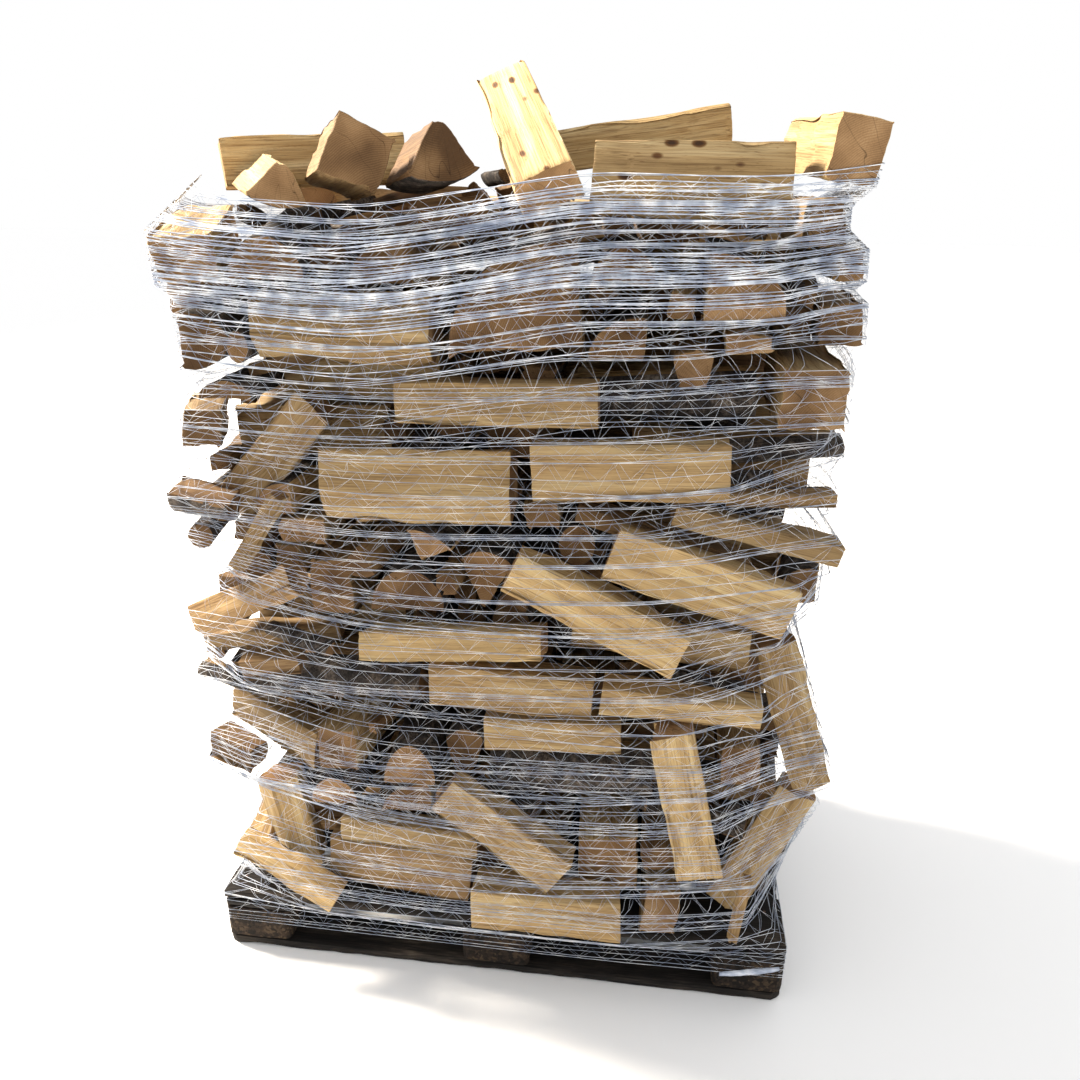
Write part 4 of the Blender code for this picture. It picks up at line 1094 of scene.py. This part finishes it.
# %% Beech bark
def beech_bark():
    """The bark side: dark and grey in patches, with small pits."""
    material, tree, shader = new_material("beech_bark")
    grain = add_node(tree, "ShaderNodeAttribute", {"attribute_name": "grain"}).outputs["Vector"]
    shares = add_node(tree, "ShaderNodeAttribute", {"attribute_name": "shares"}).outputs["Vector"]
    moved = add_node(tree, "ShaderNodeVectorMath", {"operation": "ADD"}, {0: grain, 1: shares}).outputs[0]
    patch = add_node(tree, "ShaderNodeTexNoise",
                     inputs={"Vector": moved, "Scale": 30.0, "Detail": 5.0, "Roughness": 0.65}).outputs["Fac"]
    pits = add_node(tree, "ShaderNodeTexNoise",
                    inputs={"Vector": moved, "Scale": 230.0, "Detail": 3.0, "Roughness": 0.7}).outputs["Fac"]
    base = add_node(tree, "ShaderNodeValToRGB",
                    {"ramp": [(0.30, "#2A2726"), (0.48, "#443F3C"), (0.60, "#6A6057"), (0.74, "#8C8478")]},
                    {"Fac": patch}).outputs["Color"]
    final = darkened(tree, base, pits, [(0.35, "#55504C"), (0.6, "#FFFFFF")], 0.8)
    bump = add_node(tree, "ShaderNodeBump", inputs={"Height": pits, "Strength": 0.7, "Distance": 0.0015})
    set_inputs(tree, shader, {"Base Color": final, "Normal": bump.outputs["Normal"], "Roughness": 0.9,
                              "Specular IOR Level": 0.2})
    return material

# %% [markdown]
# ## The firewood
#
# Each log that shows on the front or on top is a piece of its own. The rest of the load is three
# pieces, one for each joined solid. Logs that lie deep inside get few points, because only slits of
# them ever show.

# %% The firewood
log_finishes = [split_beech(), sawn_end(), beech_bark()]
# Points round and along each kind of log.
OWN_DETAIL, FRONT_DETAIL, SIDE_DETAIL = (52, 24), (38, 14), (28, 10)
KINDLING_DETAIL, CORE_DETAIL = (16, 6), (18, 3)
WOOD_SHARP, BOARD_SHARP = 38, 35
SEED_STEP, SEEDS = 3.71, 97


def detail_of(log):
    if log.own:
        return OWN_DETAIL
    if log.name.startswith("log_"):
        return FRONT_DETAIL
    return {"core": CORE_DETAIL, "kindling": KINDLING_DETAIL}.get(log.name, SIDE_DETAIL)


def add_piece(name, parts, finishes, sharp=None):
    """Parts as one object in the scene. Edges that bend by more than the sharp angle stay hard."""
    mesh = mesh_of(name, parts)
    for finish in finishes:
        mesh.materials.append(finish)
    piece = bpy.data.objects.new(name, mesh)
    bpy.context.scene.collection.objects.link(piece)
    if sharp:
        mesh.shade_smooth()
        mesh.set_sharp_from_angle(angle=math.radians(sharp))
    return piece


def wood_piece(name, logs, node_name):
    """Logs as one piece that stands for a solid of the frame."""
    piece = add_piece(name, [log_part(log, *detail_of(log)) for log in logs], log_finishes, WOOD_SHARP)
    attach(piece, "root")
    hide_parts(node_name)
    return triangles(piece.data)


for number, log in enumerate(placed_logs):
    log.seed = SEED_STEP * number % SEEDS
wood_triangles = [wood_piece("split_" + log.name, [log], log.name) for log in placed_logs if log.own]
wood_triangles += [wood_piece(f"split_logs_{group}", body, f"logs_{group}")
                   for group, body in log_bodies.items()]
print("wood pieces:", len(wood_triangles), "triangles:", sum(wood_triangles), "largest:", max(wood_triangles))

# %% [markdown]
# ## The pallet
#
# Rough-sawn softwood boards on blocks of pressed chips. Two winters outside have turned the boards
# nearly black. A board is a box with its long edges broken, a saw-rough face and nail heads where it
# crosses a block. Points on a fine grid over the box carry the wear: worn corners and small dents in the
# edges.

# %% One board
BOARD_EDGE = 0.0022
NAIL_RADIUS, NAIL_SIDES = 0.0036, 10
NAIL_LOW, NAIL_HIGH = 0.002, 0.0002


def box_grid(low, high, counts):
    """A closed box with a grid on each side: its points and its quads. Shared points are merged."""
    index, points, quads = {}, [], []

    def place(cell):
        if cell not in index:
            index[cell] = len(points)
            points.append([low[a] + (high[a] - low[a]) * cell[a] / counts[a] for a in range(3)])
        return index[cell]

    for axis in range(3):
        u, v = (axis + 1) % 3, (axis + 2) % 3
        for side in (0, counts[axis]):
            for i in range(counts[u]):
                for j in range(counts[v]):
                    cell = []
                    for di, dj in ((0, 0), (1, 0), (1, 1), (0, 1)):
                        one = [0, 0, 0]
                        one[axis], one[u], one[v] = side, i + di, j + dj
                        cell.append(place(tuple(one)))
                    quads.append(cell if side else cell[::-1])
    return np.array(points), np.array(quads)


def worn_box(name, cells, edge, rough, corner):
    """A box as large as the frame's node, with broken edges, rounded corners and rough faces."""
    low, high = (np.array(c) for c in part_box(name))
    size = high - low
    counts = [max(2, round(size[a] / cells[a])) for a in range(3)]
    points, quads = box_grid(low, high, counts)
    centre = (low + high) / 2
    seed = sum(ord(c) for c in name) % 61
    x, y, z = points.T
    on_face = np.minimum(points - low, high - points) < 1e-7
    on_edge = (on_face.sum(axis=1) >= 2)[:, None]
    toward = np.sign(centre - points) * on_face
    wear = edge * (0.5 + 1.3 * noise(x / 0.03 + seed, y / 0.03 + z / 0.02)[:, None])
    relief = rough * noise(y / 0.006 + seed, x / 0.05 + z / 0.006)[:, None]
    pull = toward * wear * on_edge + toward * relief
    if corner:
        flat = points[:, :2] - centre[:2]
        reach = np.abs(flat) - (size[:2] / 2 - corner)
        over = (reach > 0).all(axis=1)
        far = np.linalg.norm(reach[over], axis=1)
        scale = np.minimum(1.0, corner / np.maximum(far, 1e-9))
        rounded = size[:2] / 2 - corner + reach[over] * scale[:, None]
        points[over, :2] = centre[:2] + np.sign(flat[over]) * rounded
    return points + pull, quads, seed


def nail_heads(spots, top):
    """Flat round heads, a little proud of the board or sunk in it."""
    n = NAIL_SIDES
    k = np.arange(n)
    nxt = (k + 1) % n
    quads = np.stack([k, nxt, nxt + n, k + n], axis=1)
    fans = np.concatenate([np.stack([k + n, nxt + n, np.full(n, 2 * n)], axis=1),
                           np.stack([nxt, k, np.full(n, 2 * n + 1)], axis=1)])
    low, high = top - NAIL_LOW, top - NAIL_HIGH
    heads = []
    for x, y in spots:
        ring = [(x + NAIL_RADIUS * math.cos(a), y + NAIL_RADIUS * math.sin(a)) for a in k * math.tau / n]
        points = np.array([(px, py, z) for z in (low, high) for px, py in ring] + [(x, y, high), (x, y, low)])
        heads.append({"points": points, "quads": quads, "fans": fans, "kinds": np.ones(3 * n, int),
                      "data": {"grain": points, "shares": np.zeros((len(points), 3))}})
    return heads

# %% [markdown]
# ## Weathered pallet wood
#
# Softwood left outside goes silver-grey, and where it stays damp it goes black. The ends of the deck
# that see the sun are tan. Streaks run along each board, so the noise is stretched along it.

# %% Weathered boards, pressed blocks and nails
def weathered_board(name, along):
    """Weathered boards that run along an axis: 0 for those along the load, 1 for those across it."""
    material, tree, shader = new_material(name)
    place = add_node(tree, "ShaderNodeAttribute", {"attribute_name": "grain"}).outputs["Vector"]
    shares = add_node(tree, "ShaderNodeAttribute", {"attribute_name": "shares"}).outputs["Vector"]
    scales = {"streak": [300, 300, 300], "stain": [18, 18, 18]}
    scales["streak"][along], scales["stain"][along] = 9, 4
    field = {}
    for key, scale in scales.items():
        vector = add_node(tree, "ShaderNodeVectorMath", {"operation": "MULTIPLY"},
                          {0: place, 1: scale}).outputs[0]
        moved = add_node(tree, "ShaderNodeVectorMath", {"operation": "ADD"},
                         {0: vector, 1: shares}).outputs[0]
        field[key] = add_node(tree, "ShaderNodeTexNoise",
                              inputs={"Vector": moved, "Scale": 1.0, "Detail": 4.0,
                                      "Roughness": 0.65}).outputs["Fac"]
    base = add_node(tree, "ShaderNodeValToRGB",
                    {"ramp": [(0.30, "#100F0D"), (0.50, "#211D1A"), (0.64, "#3B342D"), (0.80, "#6E6152")]},
                    {"Fac": field["stain"]}).outputs["Color"]
    final = darkened(tree, base, field["streak"], [(0.35, "#5C564F"), (0.62, "#FFFFFF")], 0.9)
    bump = add_node(tree, "ShaderNodeBump",
                    inputs={"Height": field["streak"], "Strength": 0.6, "Distance": 0.001})
    set_inputs(tree, shader, {"Base Color": final, "Normal": bump.outputs["Normal"], "Roughness": 0.85,
                              "Specular IOR Level": 0.25})
    return material


def pressed_chips():
    """Blocks pressed from wood chips and glue: chips a centimetre long in all directions."""
    material, tree, shader = new_material("pressed_wood_chips")
    place = add_node(tree, "ShaderNodeAttribute", {"attribute_name": "grain"}).outputs["Vector"]
    shares = add_node(tree, "ShaderNodeAttribute", {"attribute_name": "shares"}).outputs["Vector"]
    moved = add_node(tree, "ShaderNodeVectorMath", {"operation": "ADD"}, {0: place, 1: shares}).outputs[0]
    chips = add_node(tree, "ShaderNodeTexVoronoi", {"feature": "F1"},
                     {"Vector": moved, "Scale": 170.0, "Randomness": 1.0})
    chip = add_node(tree, "ShaderNodeSeparateColor", inputs={"Color": chips.outputs["Color"]}).outputs[0]
    stain = add_node(tree, "ShaderNodeTexNoise",
                     inputs={"Vector": moved, "Scale": 14.0, "Detail": 4.0}).outputs["Fac"]
    mixed = add_node(tree, "ShaderNodeMath", {"operation": "MULTIPLY_ADD"},
                     {0: chip, 1: 0.5, 2: stain}).outputs[0]
    base = add_node(tree, "ShaderNodeValToRGB",
                    {"ramp": [(0.40, "#0E0C0A"), (0.62, "#1A1511"), (0.85, "#2A211A"), (1.0, "#403427")]},
                    {"Fac": mixed}).outputs["Color"]
    bump = add_node(tree, "ShaderNodeBump", inputs={"Height": chip, "Strength": 0.5, "Distance": 0.0012})
    set_inputs(tree, shader, {"Base Color": base, "Normal": bump.outputs["Normal"], "Roughness": 0.9,
                              "Specular IOR Level": 0.2})
    return material


def rusted_steel():
    """Nail heads: bright steel once, now brown with rust, which is rough and barely metallic."""
    material, tree, shader = new_material("rusted_nail")
    place = add_node(tree, "ShaderNodeAttribute", {"attribute_name": "grain"}).outputs["Vector"]
    spots = add_node(tree, "ShaderNodeTexNoise",
                     inputs={"Vector": place, "Scale": 700.0, "Detail": 3.0}).outputs["Fac"]
    base = add_node(tree, "ShaderNodeValToRGB",
                    {"ramp": [(0.35, "#2B1E18"), (0.6, "#5C3B27"), (0.8, "#7D7068")]},
                    {"Fac": spots}).outputs["Color"]
    set_inputs(tree, shader, {"Base Color": base, "Metallic": 0.3, "Roughness": 0.7})
    return material

# %% The pallet's pieces
long_board_finish = weathered_board("weathered_softwood_long", 0)
cross_board_finish = weathered_board("weathered_softwood_cross", 1)
block_finish, nail_finish = pressed_chips(), rusted_steel()
# Size of the grid's cells, wear of the edges, roughness, radius of the corners and finish.
PALLET_KINDS = {
    "pallet_block": ((0.012, 0.012, 0.012), 0.0012, 0.0006, 0.012, block_finish),
    "pallet_bottom_board": ((0.020, 0.012, 0.008), BOARD_EDGE, 0.0008, 0.022, long_board_finish),
    "pallet_cross_board": ((0.018, 0.024, 0.008), BOARD_EDGE, 0.0008, 0.0, cross_board_finish),
    "pallet_top_board": ((0.020, 0.010, 0.008), BOARD_EDGE, 0.0009, 0.0, long_board_finish),
}
BLOCK_ROWS = (-0.5275, 0.0, 0.5275)
NAIL_PLACES = ((-0.04, -0.022), (0.035, 0.026), (0.0, 0.003))


def pallet_piece(node_name, cells, edge, rough, corner, finish, nails):
    """A board or block with its nails, as one piece that stands for its solid."""
    points, quads, seed = worn_box(node_name, cells, edge, rough, corner)
    shares = np.tile((seed * 0.37, seed * 0.61, seed * 0.83), (len(points), 1))
    part = {"points": points, "quads": quads, "fans": np.zeros((0, 3), int),
            "kinds": np.zeros(len(quads), int), "data": {"grain": points, "shares": shares}}
    heads = nail_heads(nails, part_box(node_name)[1][2])
    piece = add_piece("worn_" + node_name, [part] + heads, [finish, nail_finish], BOARD_SHARP)
    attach(piece, "root")
    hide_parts(node_name)
    return triangles(piece.data)


def make_pallet():
    """Every board and block. Top boards get nails where they cross the three rows of blocks."""
    total = 0
    for node_name in sorted(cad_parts):
        for kind, settings in PALLET_KINDS.items():
            if node_name.startswith(kind):
                low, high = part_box(node_name)
                y = (low[1] + high[1]) / 2
                spots = [(x + dx, y + dy) for x in BLOCK_ROWS for dx, dy in NAIL_PLACES]
                total += pallet_piece(node_name, *settings, spots if kind == "pallet_top_board" else [])
    return total


print("pallet triangles:", make_pallet())

# %% [markdown]
# ## The form that the net takes
#
# The net is wound under tension, level with the ground, so each turn goes straight from tip to tip:
# seen from above, it is the tightest loop round the logs at that height. Up and down, the yarns tie
# the turns to each other, so the loop can't jump in or out; it slopes from one row of tips to the
# next. The loop is found with supporting lines in many directions, which is how a tape measure would
# find it, and the slope is added by letting each tip hold up its neighbours above and below.

# %% The loop round the load at every height
LEVEL = 0.006
NET_BOTTOM, NET_TOP = 0.045, 1.662
SLOPE, SLOPE_STEPS = 1.15, 25
DIRECTIONS, NET_ANGLES = 160, 900
NET_OFF = 0.0012
DECK_X, DECK_Y = 0.5985, 0.3985


def log_edges(logs):
    """Every edge of every log, as its two ends."""
    ends = []
    for log in logs:
        count = len(log.outline)
        pairs = [(i, i + count) for i in range(count)]
        pairs += [(i + k, (i + 1) % count + k) for i in range(count) for k in (0, count)]
        ends.append(np.stack([log.points[[i for i, j in pairs]], log.points[[j for i, j in pairs]]], axis=1))
    return np.concatenate(ends)


def support_table(logs):
    """How far the load reaches in each direction at each height, then eased up and down by the slope."""
    levels = np.arange(NET_BOTTOM, NET_TOP + LEVEL, LEVEL)
    angles = np.arange(DIRECTIONS) * math.tau / DIRECTIONS
    ways = np.stack([np.cos(angles), np.sin(angles)])
    edges = log_edges(logs)
    reach = np.full((len(levels), DIRECTIONS), -1.0)
    deck = np.array([(x, y) for x in (-DECK_X, DECK_X) for y in (-DECK_Y, DECK_Y)])
    for row, level in enumerate(levels):
        a, b = edges[:, 0], edges[:, 1]
        crossing = (a[:, 2] - level) * (b[:, 2] - level) < 0
        share = (level - a[crossing, 2]) / (b[crossing, 2] - a[crossing, 2])
        flat = a[crossing, :2] + (b[crossing, :2] - a[crossing, :2]) * share[:, None]
        if level < PALLET_HEIGHT:
            flat = np.concatenate([flat, deck])
        reach[row] = (flat @ ways).max(axis=0)
    eased = reach.copy()
    for steps in range(1, SLOPE_STEPS + 1):
        drop = SLOPE * LEVEL * steps
        eased[steps:] = np.maximum(eased[steps:], reach[:-steps] - drop)
        eased[:-steps] = np.maximum(eased[:-steps], reach[steps:] - drop)
    return levels, angles, eased


def radius_table(logs):
    """The loop's distance from the middle, for each height and each angle round the load."""
    levels, angles, reach = support_table(logs)
    around = np.arange(NET_ANGLES) * math.tau / NET_ANGLES
    turn = np.cos(around[:, None] - angles[None])
    facing = turn > 0.05
    safe = np.where(facing, turn, 1.0)
    radius = np.empty((len(levels), NET_ANGLES))
    for row in range(len(levels)):
        radius[row] = np.where(facing, reach[row][None] / safe, 9.0).min(axis=1)
    return levels, radius


net_levels, net_radius = radius_table(placed_logs)
print("loop at half height:", round(float(net_radius[len(net_levels) // 2].max()), 3), "m from the middle")

# %% A place on the net's form
END_ROWS = 20
mean_loop = net_radius[END_ROWS:-END_ROWS].mean(axis=0)
closed_loop = np.append(mean_loop, mean_loop[0])
loop_angles = np.arange(NET_ANGLES + 1) * math.tau / NET_ANGLES
loop_points = np.stack([closed_loop * np.cos(loop_angles), closed_loop * np.sin(loop_angles)], axis=1)
loop_way = np.concatenate([[0.0], np.cumsum(np.linalg.norm(np.diff(loop_points, axis=0), axis=1))])
LOOP = float(loop_way[-1])
print("one turn of the net:", round(LOOP, 3), "m")


def on_net(way, height, off=NET_OFF):
    """The point of the net's form a way round the load, in metres along the loop, at a height."""
    angle = np.interp(np.mod(way, LOOP), loop_way, loop_angles)
    column = angle / math.tau * NET_ANGLES
    left = np.floor(column).astype(int)
    part = column - left
    row = np.clip((height - NET_BOTTOM) / LEVEL, 0, len(net_levels) - 1.001)
    below = np.floor(row).astype(int)
    rise = row - below
    radius = 0.0
    for dr, wr in ((0, 1 - rise), (1, rise)):
        for dc, wc in ((0, 1 - part), (1, part)):
            radius = radius + wr * wc * net_radius[below + dr, (left + dc) % NET_ANGLES]
    radius = radius + off
    return np.stack([radius * np.cos(angle), radius * np.sin(angle), height], axis=-1)

# %% [markdown]
# ## The yarns
#
# Pallet net is knitted on a raschel machine from flat polyethylene film yarn. Long chains of stitches,
# the pillars, run the way it is wound, about 24 mm apart, and between each two a single yarn goes to
# and fro and makes triangles. The roll is half a metre wide. It starts with two turns at the
# bottom, climbs while it overlaps itself, and ends with nearly four turns that hang from one line at
# the top, where the pull gathers it to a quarter of its width. Neighbouring pillars run together into
# ropes for a stretch and part again. At the front corners the log tips hold the yarns up, so these
# climb a few centimetres there.

# %% Sizes of the net and of its winding
PILLARS, PILLAR_SPACING, ROPE = 21, 0.024, 3
TURNS, STITCH, WAY_STEP = 11.2, 0.029, 0.005
CHAIN_WIDE, CHAIN_THICK = 0.0011, 0.0008
YARN_WIDE, YARN_THICK = 0.00048, 0.0004
# Turns, and the height of the band's middle and its share of the roll's width after so many.
CLIMB = (0.0, 2.0, 3.1, 4.2, 5.4, 6.6, 7.5), (0.30, 0.31, 0.50, 0.74, 0.98, 1.20, 1.33)
GATHERED = (0, 1.5, 6.6, 7.8, 9.2, TURNS), (0.92, 1.0, 1.0, 0.78, 0.46, 0.26)
HANGS_FROM, HANGS_OVER, EDGE_WANDER = 6.8, 0.8, 0.03
PILLAR_WANDER, PILLAR_SHAKE, ROPE_SHAKE, BAND_WANDER = 0.024, 0.010, 0.006, 0.036
# Heights, and how far the yarns climb at the front corners at each.
CORNER_CLIMB = (0.18, 0.42, 1.0, 1.45), (0.0, 0.060, 0.045, 0.0)
CORNERS, CORNER_REACH = (math.radians(212), math.radians(329)), math.radians(17)
NET_LOWEST, OVER_EDGE = 0.062, 0.010

# %% The line that the net hangs from
# Angle round the load in degrees, from its right side, and height there.
TOP_EDGE = (
    (0, 1.585), (60, 1.545), (130, 1.540), (185, 1.550), (206, 1.612), (216, 1.566), (241, 1.548),
    (270, 1.578), (291, 1.602), (320, 1.598), (331, 1.626), (345, 1.600), (360, 1.585),
)
EDGE_EASE, EDGE_SPREAD = 15, 6.0

edge_angles = np.arange(361.0)
edge_heights = np.interp(edge_angles, *zip(*TOP_EDGE))
edge_share = np.exp(-(np.arange(-EDGE_EASE, EDGE_EASE + 1) / EDGE_SPREAD) ** 2)
round_again = np.concatenate([edge_heights[-EDGE_EASE - 1:-1], edge_heights, edge_heights[1:EDGE_EASE + 1]])
edge_heights = np.convolve(round_again, edge_share / edge_share.sum(), "valid")


def upper_edge(angle):
    """The height of the net's upper edge at an angle round the load, eased so that no yarn has a kink."""
    return np.interp(np.degrees(angle) % 360, edge_angles, edge_heights)

# %% How the net was wound
def band_place(turn, angle, pillar):
    """A pillar's place in the band. The first turns climb, and the last hang from the net's upper edge."""
    spacing = PILLAR_SPACING * np.interp(turn, *GATHERED) * (0.90 + 0.2 * noise(turn * 2.3, 11.5))
    climbing = np.interp(turn, *CLIMB) + (pillar - (PILLARS - 1) / 2) * spacing
    own_angle = angle + 0.28 * (noise(pillar * 0.9 + 5, turn) - 0.5)
    edge = upper_edge(own_angle) - EDGE_WANDER * noise(turn * 1.9, 61.5)
    hanging = edge - (PILLARS - 1 - pillar) * spacing
    share = np.clip((turn - HANGS_FROM) / HANGS_OVER, 0, 1)
    return climbing * (1 - share) + hanging * share


def pillar_height(way, pillar):
    """The height of a pillar a way along the winding, with the ropes that it forms and how it wanders."""
    turn = way / LOOP
    angle = np.interp(np.mod(way, LOOP), loop_way, loop_angles)
    own = band_place(turn, angle, pillar)
    first = (pillar + 1) // ROPE * ROPE
    shared = band_place(turn, angle, min(first, PILLARS - 1))
    pulled = np.clip((noise(turn * 2.7 + 3, first * 0.57 + 20) - 0.50) * 5, 0, 0.90)
    height = own + (shared - own) * pulled
    height = height + PILLAR_WANDER * (noise(turn * 3.1 + 40, pillar * 0.42 + 3) - 0.5)
    height = height + (PILLAR_SHAKE - ROPE_SHAKE * pulled) * (noise(turn * 14 + 7, pillar * 0.8 + 9) - 0.5)
    height = height + BAND_WANDER * (noise(turn * 1.7 + 90, 2.5) - 0.5)
    reach = np.minimum(*[np.abs(angle - corner) for corner in CORNERS]) / CORNER_REACH
    amount = np.interp(height, *CORNER_CLIMB) * (0.4 + noise(height / 0.12, 5.5))
    height = height + amount * np.exp(-reach ** 2)
    return np.clip(height, NET_LOWEST, upper_edge(angle) + OVER_EDGE)

# %% Flat tubes along lines
def thinned(points, straight, longest):
    """Which points of a line to keep: those where it bends, and one at least every so many."""
    bend = np.zeros(len(points))
    bend[1:-1] = np.linalg.norm(points[2:] - 2 * points[1:-1] + points[:-2], axis=1)
    keep = bend > straight
    keep[::longest] = True
    keep[-1] = True
    return keep


def yarn_tube(points, wide, thick):
    """A tube with three sides along a line, its flat side against the load."""
    ahead = np.gradient(points, axis=0)
    ahead /= np.linalg.norm(ahead, axis=1)[:, None] + 1e-12
    out = points * (1, 1, 0)
    out /= np.linalg.norm(out, axis=1)[:, None] + 1e-12
    side = np.cross(ahead, out)
    side /= np.linalg.norm(side, axis=1)[:, None] + 1e-12
    up = np.cross(side, ahead)
    rings = np.stack([points + side * wide / 2, points + up * thick, points - side * wide / 2], axis=1)
    rows = np.arange(len(points) - 1)[:, None] * 3
    k = np.array((0, 1, 2))
    nxt = np.array((1, 2, 0))
    quads = np.stack([rows + k, rows + 3 + k, rows + 3 + nxt, rows + nxt], axis=-1).reshape(-1, 4)
    last = 3 * (len(points) - 1)
    caps = np.array([(0, 1, 2), (last + 2, last + 1, last)])
    return {"points": rings.reshape(-1, 3), "quads": quads, "fans": caps,
            "kinds": np.zeros(len(quads) + 2, int), "data": {}}

# %% Pillars and the yarns between them
CHAIN_BEND, CHAIN_LONGEST = 0.00024, 10
YARN_BEND, YARN_CUTS = 0.0010, 4


def pillar_tube(pillar, start, end, gathered):
    """One chain of stitches. Where the net is gathered, its chains roll up and look wider."""
    way = np.arange(start * LOOP, end * LOOP, WAY_STEP)
    points = on_net(way, pillar_height(way, pillar))
    keep = thinned(points, CHAIN_BEND, CHAIN_LONGEST)
    wide = CHAIN_WIDE * gathered * (0.8 + 0.4 * float(noise(pillar * 1.37, start + 0.5)))
    return yarn_tube(points[keep], wide, CHAIN_THICK)


def zigzag_tube(pillar, start, end):
    """The yarn between two pillars, up and down by turns. A run that crosses a bend gets a point there."""
    count = int((end - start) * LOOP / STITCH)
    place = np.arange(count)
    way = start * LOOP + STITCH * (place + 0.7 * (noise(place / 1.9, pillar * 3.3 + start) - 0.5))
    height = np.where(place % 2, pillar_height(way, pillar + 1), pillar_height(way, pillar))
    share = np.arange(YARN_CUTS) / YARN_CUTS
    ways = (way[:-1, None] + np.diff(way)[:, None] * share).ravel()
    heights = (height[:-1, None] + np.diff(height)[:, None] * share).ravel()
    points = on_net(ways, heights, NET_OFF * 0.5)
    keep = thinned(points, YARN_BEND, YARN_CUTS)
    return yarn_tube(points[keep], YARN_WIDE, YARN_THICK)

# %% [markdown]
# ## Polyethylene film yarn
#
# The yarn is slit from clear-white film with a blue cast and stretched. The film is smooth, so it
# glints where it faces the light; its index is 1.51. Its colour is kept darker and bluer than the film:
# that is painted shade, the grey-blue of yarn lit only by the sky.

# %% Net yarn and its pieces
def film_yarn():
    """Whitish film with a blue cast, darkened to grey-blue as painted shade, a little clearer in some places
    than in others.
    """
    material, tree, shader = new_material("polyethylene_film_yarn")
    place = add_node(tree, "ShaderNodeTexCoord").outputs["Object"]
    tone = add_node(tree, "ShaderNodeTexNoise",
                    inputs={"Vector": place, "Scale": 34.0, "Detail": 2.0}).outputs["Fac"]
    # The ramp runs from grey-blue to nearly white: its darker part is painted shade of skylit yarn.
    base = add_node(tree, "ShaderNodeValToRGB",
                    {"ramp": [(0.35, "#929DB3"), (0.5, "#B9C2D1"), (0.66, "#E9EDF3")]},
                    {"Fac": tone}).outputs["Color"]
    set_inputs(tree, shader, {"Base Color": base, "Roughness": 0.35, "IOR": 1.51})
    return material


yarn_finish = film_yarn()


def net_piece(name, start, end, gathered):
    """A stretch of the winding as one piece."""
    parts = [pillar_tube(pillar, start, end, gathered) for pillar in range(PILLARS)]
    parts += [zigzag_tube(pillar, start, end) for pillar in range(PILLARS - 1)]
    piece = add_piece(name, parts, [yarn_finish])
    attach(piece, "root")
    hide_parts("net")
    return triangles(piece.data)


# The first and the last turn of each stretch, and how much wider its chains look.
WINDINGS = (("net_lower_winding", 0.0, 3.0, 1.0), ("net_middle_winding", 3.0, 6.0, 1.0),
            ("net_upper_winding", 6.0, 8.4, 1.0), ("net_top_winding", 8.4, TURNS, 1.5))
print("net triangles:", [net_piece(*winding) for winding in WINDINGS])

# %% [markdown]
# ## The end of the net
#
# The last of the net is pulled tight, torn off and twisted into a short roll, and tucked in at the
# deck's right corner. Nine yarns wind round each other in it.

# %% The twisted end
TWIST_YARNS, TWIST_RADIUS, TWIST_POINTS = 9, 0.0048, 60
TWIST_WIDE, TWIST_THICK = 0.0042, 0.0016
TWIST_INSET = (0.002, 0.0068, 0.0066)


def twisted_end():
    """Yarns wound round a line through the middle of the solid that they stand for."""
    (left, front, low), (right, back, high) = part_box("net_tail")
    share = np.linspace(0, 1, TWIST_POINTS)
    x = left + TWIST_INSET[0] + (right - left - 2 * TWIST_INSET[0]) * share
    y = front + TWIST_INSET[1] + (back - front - 2 * TWIST_INSET[1]) * share
    z = (high - TWIST_INSET[2]) + (low - high + 2 * TWIST_INSET[2]) * np.sin(share * math.pi / 2)
    parts = []
    for yarn in range(TWIST_YARNS):
        angle = share * TWIST_YARNS + yarn * math.tau / TWIST_YARNS
        loose = 0.75 + 0.25 * noise(share * 7 + yarn, yarn * 1.3)
        reach = TWIST_RADIUS * loose * (0.55 + 0.45 * np.sin(share * math.pi))
        points = np.stack([x, y + reach * np.cos(angle), z + reach * np.sin(angle)], axis=1)
        parts.append(yarn_tube(points, TWIST_WIDE, TWIST_THICK))
    piece = add_piece("twisted_net_end", parts, [yarn_finish])
    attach(piece, "root")
    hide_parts("net_tail")
    return triangles(piece.data)


print("twisted end triangles:", twisted_end())

# %% [markdown]
# ## Floor and light
#
# A plain pale floor, and soft light as in a studio: one large warm light high on the left and a
# little behind, which catches the tops and the left-hand facets, and a pale room that fills the front.

# %% Floor, lights and room
FLOOR_REACH = 30


def make_floor():
    """A pale matt floor that reaches far behind the load."""
    mesh = bpy.data.meshes.new("floor")
    corners = [(x * FLOOR_REACH, y * FLOOR_REACH, 0) for x, y in ((-1, -1), (1, -1), (1, 1), (-1, 1))]
    mesh.from_pydata(corners, [], [(0, 1, 2, 3)])
    material, tree, shader = new_material("pale_floor")
    set_inputs(tree, shader, {"Base Color": colour("#FFFFFF"), "Roughness": 0.9})
    mesh.materials.append(material)
    floor = bpy.data.objects.new("floor", mesh)
    bpy.context.scene.collection.objects.link(floor)


def make_light(name, at, toward, size, power, tint):
    """A square light of a size, aimed at a point."""
    lamp = bpy.data.lights.new(name, "AREA")
    lamp.size, lamp.energy = size, power
    lamp.color = colour(tint)[:3]
    light = bpy.data.objects.new(name, lamp)
    light.location = at
    light.rotation_euler = (Vector(toward) - Vector(at)).to_track_quat("-Z", "Y").to_euler()
    bpy.context.scene.collection.objects.link(light)


make_floor()
make_light("key", at=(-4.2, 0.9, 4.6), toward=(0, 0, 0.9), size=1.1, power=1400, tint="#FFF3E2")
room = bpy.data.worlds.new("pale_room")
room.use_nodes = True
set_inputs(room.node_tree, room.node_tree.nodes["Background"], {"Color": colour("#FFFFFF"), "Strength": 1.0})
bpy.context.scene.world = room
bpy.context.scene.view_settings.view_transform = "Standard"
print("one key light, a pale room, and a floor that reaches", FLOOR_REACH, "m each way")
